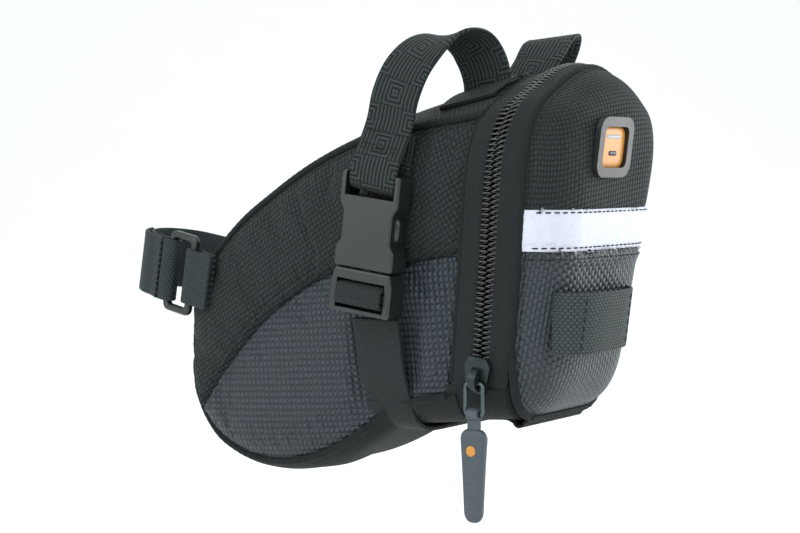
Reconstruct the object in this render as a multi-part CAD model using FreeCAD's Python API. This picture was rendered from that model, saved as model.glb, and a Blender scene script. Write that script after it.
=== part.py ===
import FreeCAD, Part
import math
import os

# Saddle bag, in millimetres. +X points to the rider's rear, +Y to the rider's right, +Z up.
# The origin is the middle of the seatpost clamp, on the seatpost's axis.

V = FreeCAD.Vector

# ---- Driving dimensions ----

# Seatpost clamp
POST_RADIUS = 13.6
POST_LEAN_DEG = 9.5
POST_STRAP_WIDTH = 25.0
POST_STRAP_THICKNESS = 1.6
RING_BAR_X = 8.2              # the ring's front bar, where the strap folds back
RING_BAR_Y = -17.4
RING_LENGTH = 13.5            # distance between the ring's two bars
RING_TURN_DEG = 9.0
RING_FOLD = 2.6               # radius of the webbing folded round a bar
RING_TAB_WIDTH = 22.0

# Bag shell
PANEL = 2.0
SEAM_GAP = 0.15
PIPING_RADIUS = 1.3
PIPING_SPREAD = 0.84          # piping sits at this share of the bag's half-width

# Zip
COIL_WIDTH = 6.6
COIL_PROUD = 1.1
TAPE_THICKNESS = 1.0
TAPE_REVEAL = 8.0
ZIP_END_Z = -37.0
ZIP_GAP = 0.8                 # each coil's distance from the zip's centre line

# Lid hinge
HINGE_X = 176.0
HINGE_Z = -49.5
HINGE_CLEARANCE = 3.2
BINDING_RADIUS = 2.5
BINDING_HALF_WIDTH = 22.0

# Lid face
LID_BOTTOM_Z = -46.0
STRIP_Z0 = 12.0
STRIP_Z1 = 26.0
PATCH_Y = -7.5
PATCH_Z = 47.5
PATCH_WIDTH = 24.0
PATCH_HEIGHT = 21.0
PATCH_BORDER = 3.4
PATCH_PROUD = 2.2
LID_LEAN = 0.13
LIGHT_LOOP_X = 199.2          # where the loop meets the lid at z = 0
LIGHT_LOOP_PATH = [(-4.0, -27.6), (1.2, -26.6), (5.0, -22.5), (6.7, -14.0), (6.8, -4.0), (6.0, 5.0),
                   (3.6, 13.0), (-0.8, 19.5)]   # distance rearwards of the lid, and across
LIGHT_LOOP_Z0 = -24.0
LIGHT_LOOP_Z1 = -2.5

# Webbing and side-release buckles
WEBBING_WIDTH = 20.0
WEBBING = 1.5
ANCHOR_PROUD = 2.0
BUCKLE_LEAN_DEG = 7.0
RAIL_STRAP_LEAN_DEG = 11.0
BUCKLE_X = 126.3
BUCKLE_Z = 13.0
BUCKLE_BACK = 36.6            # distance of the buckle's back face from the bag's middle plane
BUCKLE_THICKNESS = 9.0
BUCKLE_TOP = 25.5             # heights along the buckle, from its middle
BUCKLE_MOUTH = -9.0
BUCKLE_BOTTOM = -25.5
BUCKLE_HALF_WIDTH = 12.8
WAIST_HALF_WIDTH = 10.8
CAVITY_HALF_WIDTH = 10.7
WALL = 2.2
PRONG_HINGE_A = 6.0
PRONG_CLEARANCE = 0.4
SLACK_TOP_Z = -13.4
SLACK_BOTTOM_Z = -44.6
UNDER_STRAP_TOP_Z = -45.0
STRAP_X0 = 115.5

# Slider and pull
SLIDER_Z = -32.0
SLIDER_LENGTH = 13.0
SLIDER_WIDTH = 10.6
PLATE = 1.6
SLIDER_CLEARANCE = 0.35
BAIL_RADIUS = 4.4
BAIL_WINDOW_RADIUS = 3.1
BAIL_WIDTH = 3.0
BAIL_DROP = 1.4               # the bail's middle, below the slider's middle
WIRE_RADIUS = 0.75
WIRE_BEND = 1.6
WIRE_HALF_WIDTH = 3.6
WIRE_DROP = 11.0
GRIP_LENGTH = 33.0
GRIP_TOP_WIDTH = 10.5
GRIP_BOTTOM_WIDTH = 7.2
GRIP_THICKNESS = 4.4
GRIP_SHOULDER_Z = -5.2        # top of the grip, below the wire's lower bar
TAB_WIDTH = 4.4
EMBLEM_RADIUS = 1.9
EMBLEM_DEPTH = 0.6

# ---- The bag's cross-sections, from nose to lid ----
# Each station: x where the section plane crosses z = 0, lean (dx/dz), bottom z, top z at the middle,
# half-width low, half-width high, bottom corner, top corner in y, top corner in z, crown.
STATIONS = [
    (14.0, 0.00, -41.0, -21.0, 9.0, 9.0, 7.0, 7.0, 7.0, 0.8),
    (17.0, 0.00, -49.0, -12.5, 14.0, 13.5, 9.0, 9.0, 9.0, 1.2),
    (22.0, 0.00, -57.5, -2.5, 17.0, 16.5, 10.0, 10.0, 10.0, 1.6),
    (30.0, 0.00, -66.0, 7.5, 19.5, 19.0, 10.0, 10.0, 10.0, 2.0),
    (45.0, 0.00, -74.0, 21.5, 22.0, 21.5, 11.0, 10.0, 10.0, 2.5),
    (65.0, 0.00, -76.5, 34.5, 25.0, 24.5, 12.0, 10.0, 11.0, 3.0),
    (90.0, 0.00, -72.0, 47.5, 27.5, 28.5, 12.0, 10.0, 12.0, 3.5),
    (112.0, 0.02, -63.0, 56.5, 28.5, 31.5, 12.0, 10.0, 13.0, 4.5),
    (127.0, 0.04, -54.5, 61.5, 28.5, 33.5, 12.0, 10.5, 15.0, 6.0),
    (145.0, 0.08, -51.5, 67.0, 31.0, 36.5, 13.0, 11.5, 18.0, 8.0),
    (163.0, 0.12, -50.0, 72.5, 32.4, 39.0, 13.0, 12.5, 22.0, 10.0),
    (176.0, 0.13, -49.0, 76.5, 32.2, 39.7, 13.0, 12.7, 23.0, 10.6),
    (185.0, 0.13, -48.0, 75.8, 31.7, 39.4, 13.0, 12.7, 23.0, 10.2),
    (190.5, 0.13, -46.0, 73.4, 30.0, 37.6, 13.0, 12.5, 22.0, 9.6),
    (195.5, 0.13, -41.5, 69.2, 26.0, 33.0, 12.0, 11.0, 19.0, 7.8),
    (198.6, 0.13, -33.0, 61.6, 19.0, 24.5, 10.0, 9.0, 15.0, 5.0),
]

# Zip centre line and lid seam, as seen from the side (x, z)
ZIP_LINE = [(159.2, -95.0), (167.4, -33.0), (171.9, 2.0), (177.4, 43.0),
            (180.2, 59.0), (183.2, 69.0), (187.2, 78.0), (190.8, 86.0)]
LID_SEAM = [(171.2, -95.0), (179.2, -30.0), (184.2, 5.0), (188.9, 43.0), (191.2, 64.0), (193.2, 77.0),
            (194.6, 86.0)]
# Seam between the woven upper part and the coated lower part of each side panel (x, z)
SIDE_SEAM = [(0.0, -92.0), (28.2, -53.6), (46.2, -33.4), (63.2, -18.5), (79.6, -8.0), (95.3, -0.5),
             (132.4, 5.4), (172.0, 12.6), (210.0, 19.0)]

# Angles along a half turn, for webbing folded round a bar
HALF_TURN = [math.radians(degrees) for degrees in (0, 45, 90, 135, 180)]

SHAPES = {}


def keep(name, shape):
    """Store one closed solid, or the solids of one piece, under its node name."""
    SHAPES[name] = shape.removeSplitter() if len(shape.Solids) == 1 else shape


def spline(points):
    curve = Part.BSplineCurve()
    curve.interpolate(points)
    return curve.toShape()


def arc(a, b, c):
    return Part.Arc(a, b, c).toShape()


def line(a, b):
    return Part.LineSegment(a, b).toShape()


# ---- Shell ----

def section(station, inset):
    """One closed cross-section, pulled in by inset all round (pushed out when inset is negative)."""
    x, lean, low, high, half_low, half_high, r_low, ry_high, rz_high, crown = station
    low += inset
    high -= inset
    half_low -= inset
    half_high -= inset
    r_low -= inset
    ry_high -= inset
    rz_high -= inset

    def at(y, z):
        return V(x + lean * z, y, z)

    diagonal = math.sqrt(0.5)
    shoulder = high - crown
    corner = half_high - ry_high
    low_mid_y = half_low - r_low * (1.0 - diagonal)
    low_mid_z = low + r_low * (1.0 - diagonal)
    high_mid_y = half_high - ry_high * (1.0 - diagonal)
    high_mid_z = shoulder - rz_high * (1.0 - diagonal)
    edges = [
        line(at(-half_low + r_low, low), at(half_low - r_low, low)),
        arc(at(half_low - r_low, low), at(low_mid_y, low_mid_z), at(half_low, low + r_low)),
        line(at(half_low, low + r_low), at(half_high, shoulder - rz_high)),
        arc(at(half_high, shoulder - rz_high), at(high_mid_y, high_mid_z), at(corner, shoulder)),
        arc(at(corner, shoulder), at(0, high), at(-corner, shoulder)),
        arc(at(-corner, shoulder), at(-high_mid_y, high_mid_z), at(-half_high, shoulder - rz_high)),
        line(at(-half_high, shoulder - rz_high), at(-half_low, low + r_low)),
        arc(at(-half_low, low + r_low), at(-low_mid_y, low_mid_z), at(-half_low + r_low, low)),
    ]
    return Part.Wire(edges)


def bag_solid(inset):
    """The whole bag, nose to lid, as one lofted solid pulled in by inset."""
    wires = []
    for index, station in enumerate(STATIONS):
        wire = section(station, inset)
        if index == 0:
            wire.translate(V(inset, 0, 0))
        if index >= len(STATIONS) - 3:
            wire.translate(V(-inset, 0, 0))
        wires.append(wire)
    return Part.makeLoft(wires, True, False)


def side_prism(points, far, shift=0.0, reach=60.0):
    """Everything on the far side (far is an x) of a line drawn in side view, across the bag's width."""
    line_points = [V(x + shift, -reach, z) for x, z in points]
    first = V(far, -reach, points[0][1])
    last = V(far, -reach, points[-1][1])
    edges = [spline(line_points), line(line_points[-1], last), line(last, first), line(first, line_points[0])]
    return Part.Face(Part.Wire(edges)).extrude(V(0, 2 * reach, 0))


def below_prism(points, floor=-120.0, reach=60.0):
    """Everything below a line drawn in side view, across the bag's width."""
    line_points = [V(x, -reach, z) for x, z in points]
    first = V(points[0][0], -reach, floor)
    last = V(points[-1][0], -reach, floor)
    edges = [spline(line_points), line(line_points[-1], last), line(last, first), line(first, line_points[0])]
    return Part.Face(Part.Wire(edges)).extrude(V(0, 2 * reach, 0))


def plan_prism(spread):
    """The space between the two piping lines, spread outwards on each side by spread."""
    x_start = -5.0
    x_stop = 215.0
    samples = [(x_start, STATIONS[0][5])] + [(s[0], s[5]) for s in STATIONS[1:12]] + [(x_stop, STATIONS[11][5])]
    right = [V(x, PIPING_SPREAD * half + spread, -110) for x, half in samples]
    left = [V(p.x, -p.y, p.z) for p in right]
    edges = [spline(right), line(right[-1], left[-1]), spline(left), line(left[0], right[0])]
    return Part.Face(Part.Wire(Part.__sortEdges__(edges))).extrude(V(0, 0, 220))


def box(x0, x1, y0, y1, z0, z1):
    return Part.makeBox(x1 - x0, y1 - y0, z1 - z0, V(x0, y0, z0))


def make_shell():
    outer = bag_solid(0.0)
    inner = bag_solid(PANEL)
    shell = outer.cut(inner)
    body_edge = -COIL_WIDTH / 2 - TAPE_REVEAL
    zip_front = side_prism(ZIP_LINE, -60.0, body_edge)
    between = plan_prism(0.0)

    body = shell.common(zip_front)
    gusset = body.common(between)
    sides = body.cut(between)
    below_seam = below_prism(SIDE_SEAM)
    for label, y0, y1 in (("left", -70, 0), ("right", 0, 70)):
        half = sides.common(box(-20, 260, y0, y1, -120, 120))
        keep("side_panel_%s_lower" % label, half.common(below_seam))
        keep("side_panel_%s_upper" % label, half.cut(below_seam))

    nose_top = box(-20, 34.0, -70, 70, -100, 0.0).fuse(box(-20, 46.0, -70, 70, -100, -46.0))
    nose = gusset.common(nose_top)
    rest = gusset.cut(nose_top)
    keep("nose_gusset", nose)
    keep("top_gusset", rest.common(box(-20, 260, -70, 70, 0.0, 120)))
    bottom = rest.common(box(-20, 260, -70, 70, -120, -30.0))

    # The bottom gusset runs on past the zip's ends to the lid's fabric hinge.
    under = shell.common(box(100, HINGE_X - 1.0, -70, 70, -120, ZIP_END_Z - 3.0))
    under = under.cut(zip_front)
    keep("bottom_gusset", bottom.fuse(under))

    # Piping ridges on the shell, along the edges of the gusset
    ridge = bag_solid(-PIPING_RADIUS).cut(bag_solid(0.0))
    ridge = ridge.common(zip_front)
    band = plan_prism(PIPING_RADIUS).cut(plan_prism(-PIPING_RADIUS))
    ridge = ridge.common(band)
    strap_lane = box(112, 141, -70, 70, -120, -20)
    ridge = ridge.cut(strap_lane)
    keep("piping_left", ridge.common(box(-20, 260, -70, 0, -120, 120)))
    keep("piping_right", ridge.common(box(-20, 260, 0, 70, -120, 120)))

    # Zip tapes and coils
    above_end = box(120, 260, -70, 70, ZIP_END_Z, 120)
    tape = outer.cut(bag_solid(TAPE_THICKNESS)).common(above_end)
    half_coil = COIL_WIDTH / 2
    coil = bag_solid(-COIL_PROUD).cut(bag_solid(TAPE_THICKNESS)).common(above_end)
    behind_body = side_prism(ZIP_LINE, 260.0, body_edge)
    keep("zipper_tape_body", tape.common(behind_body).common(side_prism(ZIP_LINE, -60.0, -half_coil)))
    keep("zipper_coil_body", coil.common(side_prism(ZIP_LINE, 260.0, -half_coil))
         .common(side_prism(ZIP_LINE, -60.0, -ZIP_GAP)))
    keep("zipper_coil_lid", coil.common(side_prism(ZIP_LINE, 260.0, ZIP_GAP))
         .common(side_prism(ZIP_LINE, -60.0, half_coil)))
    keep("zipper_tape_lid", tape.common(side_prism(ZIP_LINE, 260.0, half_coil))
         .common(side_prism(LID_SEAM, -60.0)))
    return outer, shell


# ---- Lid ----

def rounded_prism(z, width, height, radius):
    """A rounded rectangle seen from behind, carried along x."""
    block = Part.makeBox(60, width, height, V(180, PATCH_Y - width / 2, z - height / 2))
    edges = [edge for edge in block.Edges if abs(edge.tangentAt(edge.FirstParameter).x) > 0.9]
    return block.makeFillet(radius, edges)


def make_lid(outer, shell):
    hinge_relief = Part.makeCylinder(HINGE_CLEARANCE, 160.0, V(HINGE_X, -80, HINGE_Z), V(0, 1, 0))
    face = shell.common(side_prism(LID_SEAM, 260.0, SEAM_GAP)).cut(hinge_relief)
    keep("lid_upper_panel", face.common(box(120, 260, -70, 70, STRIP_Z1, 120)))
    keep("reflective_strip", face.common(box(120, 260, -70, 70, STRIP_Z0, STRIP_Z1)))
    keep("lid_lower_panel", face.common(box(120, 260, -70, 70, LID_BOTTOM_Z, STRIP_Z0)))

    # Rounded patch on the upper panel: a border with a thinner inlay
    rear = box(194, 260, -70, 70, -120, 120)
    rim = rounded_prism(PATCH_Z, PATCH_WIDTH, PATCH_HEIGHT, 5.0)
    hole = rounded_prism(PATCH_Z, PATCH_WIDTH - 2 * PATCH_BORDER, PATCH_HEIGHT - 2 * PATCH_BORDER, 2.5)
    keep("patch_border", bag_solid(-PATCH_PROUD).cut(outer).common(rim.cut(hole)).common(rear))
    keep("patch_inlay", bag_solid(-PATCH_PROUD / 2).cut(outer).common(hole).common(rear))

    # Webbing loop for a clip-on light: sewn down at both ends, open at the top and bottom
    side = ribbon_face([V(x, y, 0) for x, y in LIGHT_LOOP_PATH], WEBBING, V(0, 0, 1))
    height = LIGHT_LOOP_Z1 - LIGHT_LOOP_Z0
    loop = side.extrude(V(LID_LEAN * height, 0, height))
    loop.translate(V(LIGHT_LOOP_X + LID_LEAN * LIGHT_LOOP_Z0, 0, LIGHT_LOOP_Z0))
    keep("light_clip_loop", loop.cut(outer))


# ---- Webbing ----

def ribbon_face(points, thickness, across):
    """The side view of a band of even thickness along a smooth line; across is the width direction."""
    curve = Part.BSplineCurve()
    curve.interpolate(points)
    steps = 8 * (len(points) - 1)
    first, last = curve.FirstParameter, curve.LastParameter
    one_side = []
    other_side = []
    for i in range(steps + 1):
        t = first + (last - first) * i / steps
        normal = curve.tangent(t)[0].cross(across)
        normal.normalize()
        one_side.append(curve.value(t) + normal * (thickness / 2))
        other_side.append(curve.value(t) - normal * (thickness / 2))
    edges = [spline(one_side), line(one_side[-1], other_side[-1]), spline(other_side),
             line(other_side[0], one_side[0])]
    return Part.Face(Part.Wire(Part.__sortEdges__(edges)))


def side_band(path, thickness, width):
    """Webbing drawn on the left side: path as (distance from the middle plane, height)."""
    points = [V(-width / 2, -out, up) for out, up in path]
    return ribbon_face(points, thickness, V(1, 0, 0)).extrude(V(width, 0, 0))


def twisted_band(stops, thickness, width):
    """Webbing whose width direction turns: stops as (x, y, z, fall, spread), where the rear edge falls
    and spreads outwards by those angles in degrees."""
    curve = Part.BSplineCurve()
    curve.interpolate([V(*stop[:3]) for stop in stops])
    wires = []
    for x, y, z, fall, spread in stops:
        centre = V(x, y, z)
        tangent = curve.tangent(curve.parameter(centre))[0]
        fall = math.radians(fall)
        spread = math.radians(spread)
        across = V(math.cos(fall) * math.cos(spread), -math.cos(fall) * math.sin(spread), -math.sin(fall))
        across = across - tangent * across.dot(tangent)
        across.normalize()
        normal = tangent.cross(across)
        a = across * (width / 2)
        n = normal * (thickness / 2)
        wires.append(Part.makePolygon([centre - a - n, centre + a - n, centre + a + n, centre - a + n,
                                       centre - a - n]))
    return Part.makeLoft(wires, True, False)


def lean(shape, x, z, degrees):
    """Lean a shape's top to the rear, then put its origin at (x, 0, z)."""
    shape = shape.copy()
    shape.rotate(V(0, 0, 0), V(0, 1, 0), degrees)
    shape.translate(V(x, 0, z))
    return shape


def pair(name, shape):
    """Store a left-hand piece and its mirror image on the right."""
    keep(name + "_left", shape)
    keep(name + "_right", shape.mirror(V(0, 0, 0), V(0, 1, 0)))


def make_rail_straps(outer):
    back = BUCKLE_BACK
    slot_b = BUCKLE_TOP - 5.5
    slot_x = BUCKLE_X + slot_b * math.sin(math.radians(BUCKLE_LEAN_DEG))
    slot_z = BUCKLE_Z + slot_b * math.cos(math.radians(BUCKLE_LEAN_DEG))
    fold = [(back + 0.7, 21.0), (back + 0.7, 12.0), (back + 0.7, 4.0), (back + 1.6, 0.3), (back + 4.4, -0.9),
            (back + 7.2, 0.3), (back + 8.1, 4.0), (back + 7.6, 10.0), (back + 5.4, 16.0), (back + 3.2, 23.0)]
    fold_band = lean(side_band(fold, WEBBING, WEBBING_WIDTH), slot_x, slot_z, RAIL_STRAP_LEAN_DEG)
    loop = [(133.2, -(back + 3.2), 55.7, 11.0), (135.6, -(back + 2.8), 66.0, 10.0),
            (139.0, -(back + 0.2), 76.0, 7.0), (143.8, -30.8, 84.0, 2.0), (149.2, -23.4, 87.0, -5.0),
            (153.6, -16.8, 84.0, -11.0), (156.4, -13.6, 77.0, -15.0), (157.6, -13.0, 71.0, -16.0),
            (157.8, -13.0, 67.0, -16.0)]
    right_loop = [(133.2, -(back + 3.2), 55.7, 11.0, 0.0), (136.5, -(back + 3.8), 64.0, 9.0, 4.0),
                  (143.0, -(back + 4.6), 72.5, 5.0, 12.0), (151.0, -(back + 4.2), 81.5, 0.0, 22.0),
                  (157.6, -35.4, 88.6, -5.0, 26.0), (160.4, -26.5, 88.0, -9.0, 20.0),
                  (160.2, -18.6, 81.0, -13.0, 10.0), (158.6, -14.2, 73.5, -15.0, 3.0),
                  (157.8, -13.0, 67.0, -16.0, 0.0)]
    anchor_solid = bag_solid(-ANCHOR_PROUD)
    lower = fold_band.common(box(0, 300, -70, 0, -50, 57.5))
    left_loop = [stop + (0.0,) for stop in loop]
    left = lower.fuse(twisted_band(left_loop, WEBBING, WEBBING_WIDTH).cut(anchor_solid))
    right = lower.fuse(twisted_band(right_loop, WEBBING, WEBBING_WIDTH).cut(anchor_solid))
    keep("rail_strap_left", left)
    keep("rail_strap_right", right.mirror(V(0, 0, 0), V(0, 1, 0)))
    anchor = anchor_solid.cut(outer).common(box(145.5, 170.0, -24.0, -4.0, 40, 120))
    pair("strap_anchor", anchor)


def make_under_straps(outer):
    across = box(STRAP_X0, STRAP_X0 + WEBBING_WIDTH, -70, 70, -120, UNDER_STRAP_TOP_Z)
    keep("under_strap", bag_solid(-WEBBING).cut(outer).common(across))


def make_slack():
    """The run of webbing between the under strap and the plug."""
    run = [(BUCKLE_BACK + 1.0, SLACK_TOP_Z), (36.3, -20.0), (34.2, -31.0), (31.9, SLACK_BOTTOM_Z)]
    slack = side_band(run, WEBBING, WEBBING_WIDTH)
    slack.translate(V(STRAP_X0 + WEBBING_WIDTH / 2, 0, 0))
    pair("strap_slack", slack.cut(SHAPES["plug_web_left"]).cut(SHAPES["buckle_plug_left"]))


# ---- Side-release buckles, drawn upright on the left, facing -Y ----

def block(a0, a1, b0, b1, c0, c1):
    """A block by distance rearwards (a), height (b) and distance outwards from the buckle's back (c)."""
    return box(a0, a1, -(BUCKLE_BACK + c1), -(BUCKLE_BACK + c0), b0, b1)


def outline_plate(points, c0, c1):
    """A plate with a straight-sided outline in (a, b)."""
    corners = [V(a, -(BUCKLE_BACK + c0), b) for a, b in points]
    return Part.Face(Part.makePolygon(corners + corners[:1])).extrude(V(0, -(c1 - c0), 0))


def round_edges(shape, radius, direction):
    """Round the edges that run along one direction, the ones on the outline only."""
    edges = [e for e in shape.Edges if abs(e.tangentAt(e.FirstParameter).dot(direction)) > 0.999]
    return shape.makeFillet(radius, edges)


def make_socket():
    half = BUCKLE_HALF_WIDTH
    waist = WAIST_HALF_WIDTH
    mouth = BUCKLE_MOUTH
    outline = [(-half, mouth), (half, mouth), (half, mouth + 7), (waist, 0.5), (waist, 11.5), (half, 14.5),
               (half, BUCKLE_TOP), (-half, BUCKLE_TOP), (-half, 14.5), (-waist, 11.5), (-waist, 0.5),
               (-half, mouth + 7)]
    body = round_edges(outline_plate(outline, 0, BUCKLE_THICKNESS), 1.2, V(0, 1, 0))
    rim = [e for e in body.Edges if abs(e.BoundBox.YLength) < 0.01]
    body = body.makeFillet(0.8, rim)
    cavity = block(-CAVITY_HALF_WIDTH, CAVITY_HALF_WIDTH, mouth - 1, 12.6, WALL, BUCKLE_THICKNESS - WALL)
    slot = block(-10.8, 10.8, BUCKLE_TOP - 8.7, BUCKLE_TOP - 3.0, -1, BUCKLE_THICKNESS + 1)
    bar_back = block(-10.8, 10.8, BUCKLE_TOP - 8.7, BUCKLE_TOP + 1, -1, 1.7)
    bar_front = block(-10.8, 10.8, BUCKLE_TOP - 8.7, BUCKLE_TOP + 1, 7.1, BUCKLE_THICKNESS + 1)
    return body.cut(cavity).cut(slot).cut(bar_back).cut(bar_front)


def make_plug():
    half = BUCKLE_HALF_WIDTH + 0.6
    top = BUCKLE_MOUTH - 0.4
    bottom = BUCKLE_BOTTOM
    outline = [(-half, bottom), (half, bottom), (half, top - 5), (half - 1.4, top), (-half + 1.4, top),
               (-half, top - 5)]
    frame = round_edges(outline_plate(outline, 0, BUCKLE_THICKNESS), 1.2, V(0, 1, 0))
    rim = [e for e in frame.Edges if abs(e.BoundBox.YLength) < 0.01]
    frame = frame.makeFillet(0.8, rim)
    upper_slot = block(-10.6, 10.6, bottom + 8.2, bottom + 12.2, -1, BUCKLE_THICKNESS + 1)
    lower_slot = block(-10.6, 10.6, bottom + 1.6, bottom + 5.4, -1, BUCKLE_THICKNESS + 1)
    back_relief = block(-10.6, 10.6, bottom - 1, bottom + 12.2, -1, 4.0)
    tongue = block(-2.4, 2.4, top - 0.5, 8.0, WALL + 0.4, BUCKLE_THICKNESS - WALL - 0.4)
    tongue = round_edges(tongue, 0.8, V(0, 1, 0))
    prong_room = block(PRONG_HINGE_A - 2.2, PRONG_HINGE_A + 2.2, top - 2.6, top + 1, 1.8,
                       BUCKLE_THICKNESS - 1.8)
    mirrored_room = prong_room.mirror(V(0, 0, 0), V(1, 0, 0))
    frame = frame.cut(upper_slot).cut(lower_slot).cut(back_relief)
    return frame.fuse(tongue).cut(prong_room).cut(mirrored_room)


def make_prong():
    """The rear prong, with its hinge end in the plug and its pad in the socket's side window."""
    root_b = BUCKLE_MOUTH - 2.4
    c0 = WALL + PRONG_CLEARANCE
    c1 = BUCKLE_THICKNESS - WALL - PRONG_CLEARANCE
    arm = [(PRONG_HINGE_A - 1.2, root_b), (PRONG_HINGE_A + 1.2, root_b), (PRONG_HINGE_A + 1.6, -1.0),
           (10.3, 0.6), (10.3, 8.6), (8.4, 11.6), (6.6, 11.6), (6.6, 1.6), (PRONG_HINGE_A - 1.0, -1.0)]
    return round_edges(outline_plate(arm, c0, c1), 0.5, V(0, 1, 0))


def make_plug_web():
    """The end of the webbing, laced round the middle bar of the plug's frame."""
    bottom = BUCKLE_BOTTOM
    path = [(BUCKLE_BACK + 1.0, bottom - 0.9), (BUCKLE_BACK + 1.2, bottom + 6.0),
            (BUCKLE_BACK + 3.0, bottom + 10.0), (BUCKLE_BACK + 6.6, bottom + 10.4),
            (BUCKLE_BACK + 9.9, bottom + 9.4), (BUCKLE_BACK + 10.2, bottom + 6.8),
            (BUCKLE_BACK + 9.9, bottom + 4.2), (BUCKLE_BACK + 6.6, bottom + 3.3),
            (BUCKLE_BACK + 3.2, bottom + 2.0), (BUCKLE_BACK + 2.8, bottom - 0.9)]
    return side_band(path, WEBBING - 0.1, WEBBING_WIDTH)


def make_buckles():
    placed = (BUCKLE_X, BUCKLE_Z, BUCKLE_LEAN_DEG)
    pair("buckle_socket", lean(make_socket(), *placed))
    pair("buckle_plug", lean(make_plug(), *placed))
    pair("plug_web", lean(make_plug_web(), *placed))
    rear_prong = make_prong()
    front_prong = rear_prong.mirror(V(0, 0, 0), V(1, 0, 0))
    pair("prong_rear", lean(rear_prong, *placed))
    pair("prong_front", lean(front_prong, *placed))


# ---- Seatpost clamp, drawn with the post upright ----

def post_band(path, thickness, height):
    """Webbing standing on edge round the post: path in (x, y)."""
    points = [V(x, y, -height / 2) for x, y in path]
    return ribbon_face(points, thickness, V(0, 0, 1)).extrude(V(0, 0, height))


def make_post_strap():
    height = POST_STRAP_WIDTH
    thickness = POST_STRAP_THICKNESS
    middle = POST_RADIUS + thickness / 2
    hoop = Part.makeCylinder(POST_RADIUS + thickness, height, V(0, 0, -height / 2))
    hoop = hoop.cut(Part.makeCylinder(POST_RADIUS, height + 2, V(0, 0, -height / 2 - 1)))
    hoop = hoop.common(box(-30, 0, -30, 30, -40, 40))
    bar_x = RING_BAR_X
    bar_y = RING_BAR_Y
    fold = RING_FOLD
    right_leg = post_band([(0, middle), (8, middle + 0.3), (20, 17.6), (33, 21.2)], thickness, height)
    turn = [(bar_x + fold * math.sin(t), bar_y + fold * math.cos(t)) for t in HALF_TURN]
    left_path = [(0, -middle), (4.0, -middle - 0.1)] + turn + [(bar_x - 3.6, bar_y - fold + 0.2)]
    left_leg = post_band(left_path, thickness, height)
    nose_clear = bag_solid(-PIPING_RADIUS - 0.05)
    right_leg = lean(right_leg, 0, 0, POST_LEAN_DEG).cut(nose_clear)
    strap = lean(hoop.fuse(left_leg), 0, 0, POST_LEAN_DEG).fuse(right_leg)
    keep("post_strap", strap)

    tail_start = (bar_x - 4.1, bar_y - fold + 0.2)
    tail_middle = POST_RADIUS + thickness * 1.5 + 0.9
    tail = [tail_start]
    for degrees in (262, 250, 236, 222, 208, 194):
        angle = math.radians(degrees)
        tail.append((tail_middle * math.cos(angle), tail_middle * math.sin(angle)))
    keep("strap_tail", lean(post_band(tail, thickness, height), 0, 0, POST_LEAN_DEG))

    ring = Part.makeBox(16.6, 3.0, 33.0, V(-1.5, -1.5, -16.5))
    ring = round_edges(ring, 3.2, V(0, 1, 0))
    window = round_edges(Part.makeBox(10.6, 5.0, 27.0, V(1.5, -2.5, -13.5)), 1.5, V(0, 1, 0))
    ring = ring.cut(window)
    ring = ring.makeFillet(1.1, [e for e in ring.Edges if abs(e.BoundBox.YLength) < 0.01])
    ring.rotate(V(0, 0, 0), V(0, 0, 1), -RING_TURN_DEG)
    ring.translate(V(bar_x, bar_y, 0))
    keep("strap_ring", lean(ring, 0, 0, POST_LEAN_DEG))

    ring_turn = math.radians(RING_TURN_DEG)
    rear_x = bar_x + RING_LENGTH * math.cos(ring_turn)
    rear_y = bar_y - RING_LENGTH * math.sin(ring_turn)
    turn = [(rear_x - fold * math.sin(t), rear_y + fold * math.cos(t)) for t in HALF_TURN]
    tab = [(34.0, -21.3), (28.0, -19.2)] + turn + [(28.0, -22.8), (34.0, -23.7)]
    tab_band = lean(post_band(tab, thickness, RING_TAB_WIDTH), 0, 0, POST_LEAN_DEG)
    keep("ring_tab", tab_band.cut(nose_clear))


# ---- Slider and pull ----

def zip_direction():
    """The straight run of the zip on the left side, pointing up."""
    station = STATIONS[11]
    z_low = station[2] + station[6]
    z_high = station[3] - station[9] - station[8]
    low = V(167.4 + (z_low + 33.0) * LID_LEAN, -station[4], z_low)
    high = V(low.x + (z_high - z_low) * LID_LEAN, -station[5], z_high)
    return low, (high - low).normalize()


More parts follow.
